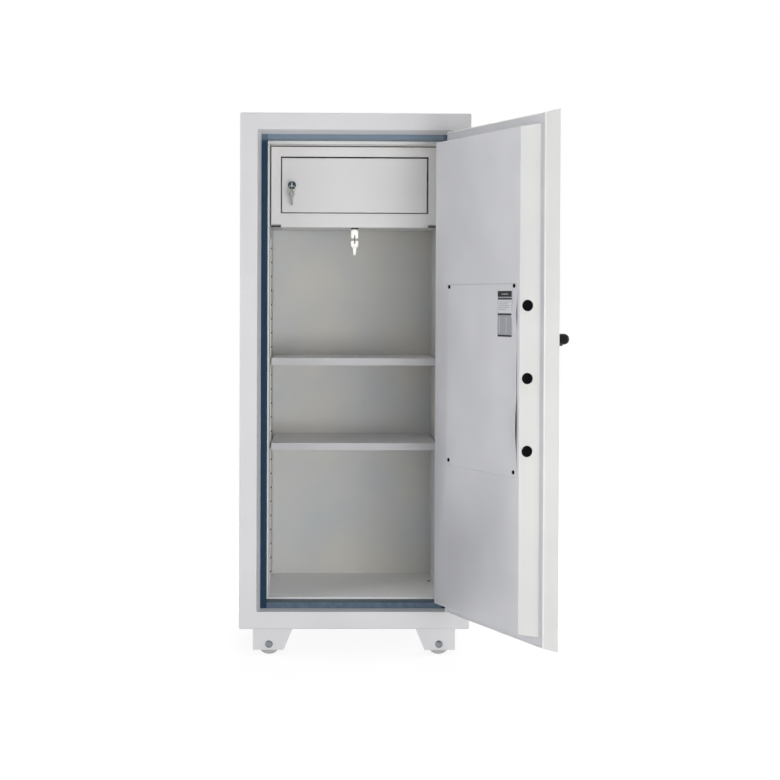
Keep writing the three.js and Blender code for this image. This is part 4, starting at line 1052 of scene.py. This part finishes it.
def studio_world():
    """Soft light from all round, and white where the camera or a reflection looks past the safe."""
    world = bpy.data.worlds.new("studio")
    bpy.context.scene.world = world
    world.use_nodes = True
    tree = world.node_tree
    tree.nodes.clear()
    soft = add(tree, "ShaderNodeBackground", Color=(0.93, 0.96, 1.0, 1.0), Strength=0.17)
    white = add(tree, "ShaderNodeBackground", Color=(1.0, 1.0, 1.0, 1.0), Strength=1.0)
    rays = add(tree, "ShaderNodeLightPath").outputs
    sight = [(0, rays["Is Camera Ray"]), (1, rays["Is Transmission Ray"])]
    seen = add(tree, "ShaderNodeMath", sight, operation="MAXIMUM")
    sight = [(0, seen.outputs[0]), (1, rays["Is Glossy Ray"])]
    sharp = add(tree, "ShaderNodeMath", sight, operation="MAXIMUM")
    layers = [(0, sharp.outputs[0]), (1, soft.outputs[0]), (2, white.outputs[0])]
    blend = add(tree, "ShaderNodeMixShader", layers)
    add(tree, "ShaderNodeOutputWorld", [("Surface", blend.outputs[0])])


def soft_box(name, place, target, width, height, power):
    """A soft box lamp at place that faces target; places and sizes are in metres, power in watts."""
    lamp = bpy.data.lights.new(name, "AREA")
    lamp.shape = "RECTANGLE"
    lamp.size = width
    lamp.size_y = height
    lamp.energy = power
    stand = bpy.data.objects.new(name, lamp)
    stand.location = place
    stand.rotation_euler = (Vector(target) - Vector(place)).to_track_quat("-Z", "Y").to_euler()
    bpy.context.scene.collection.objects.link(stand)
    return stand


def photo_camera():
    """The camera 3.8 m in front of the safe, a little left of its middle and 0.84 m above the floor."""
    # Where it stands, in metres, and how it is turned, in radians
    place = (-0.083901, -4.051576, 0.774925)
    yaw, pitch, roll = -0.01555, -0.01408, 0.00375
    # In pixels of the photograph: its side, the focal length and how far the lens is shifted
    side, focal, shift_right, shift_down = 780, 1598.146, 45.1, 63.1
    ahead = Vector((-math.sin(yaw) * math.cos(pitch), math.cos(yaw) * math.cos(pitch), math.sin(pitch)))
    level = Vector((math.cos(yaw), math.sin(yaw), 0.0))
    upright = level.cross(ahead)
    right = level * math.cos(roll) + upright * math.sin(roll)
    up = upright * math.cos(roll) - level * math.sin(roll)
    lens = bpy.data.cameras.new("camera")
    lens.sensor_width = 36.0
    lens.lens = 36.0 * focal / side
    lens.shift_x = shift_right / side
    lens.shift_y = -shift_down / side
    lens.clip_start = 0.1
    lens.clip_end = 60.0
    camera = bpy.data.objects.new("camera", lens)
    turn = Matrix((right, up, -ahead)).transposed().to_4x4()
    camera.matrix_world = Matrix.Translation(place) @ turn
    bpy.context.scene.collection.objects.link(camera)
    bpy.context.scene.camera = camera


bpy.context.scene.view_settings.view_transform = "Standard"
photo_camera()
studio_floor()
studio_world()
# The low lamp lights the inside of the safe; its mirror image would burn out the shell seen from behind
low_lamp = soft_box("low", (0.95, -3.55, 0.35), (0.05, 0.0, 0.6), 2.0, 0.9, 55)
low_lamp.visible_glossy = False
soft_box("left", (-3.1, -2.5, 0.85), (0.05, 0.0, 0.6), 2.0, 2.4, 30)
soft_box("side_left", (-3.8, 0.7, 0.6), (0.0, 0.0, 0.5), 2.4, 2.2, 40)
soft_box("side_right", (3.8, 0.7, 0.9), (0.3, 0.0, 0.6), 2.4, 2.2, 52)
soft_box("right", (2.6, -3.4, 1.4), (0.05, 0.0, 0.6), 1.6, 2.4, 8)
soft_box("front", (0.2, -4.6, 1.4), (0.05, 0.0, 0.6), 2.4, 2.0, 5)
soft_box("top", (0.0, -1.6, 3.6), (0.05, 0.0, 0.6), 2.4, 2.0, 7)
soft_box("roof", (0.0, 0.5, 3.9), (0.0, 0.45, 0.6), 1.6, 1.0, 26)
soft_box("back", (0.6, 4.0, 1.8), (0.0, 0.0, 0.6), 2.4, 2.4, 60)
cabinet()
feet()
drawer()
door()
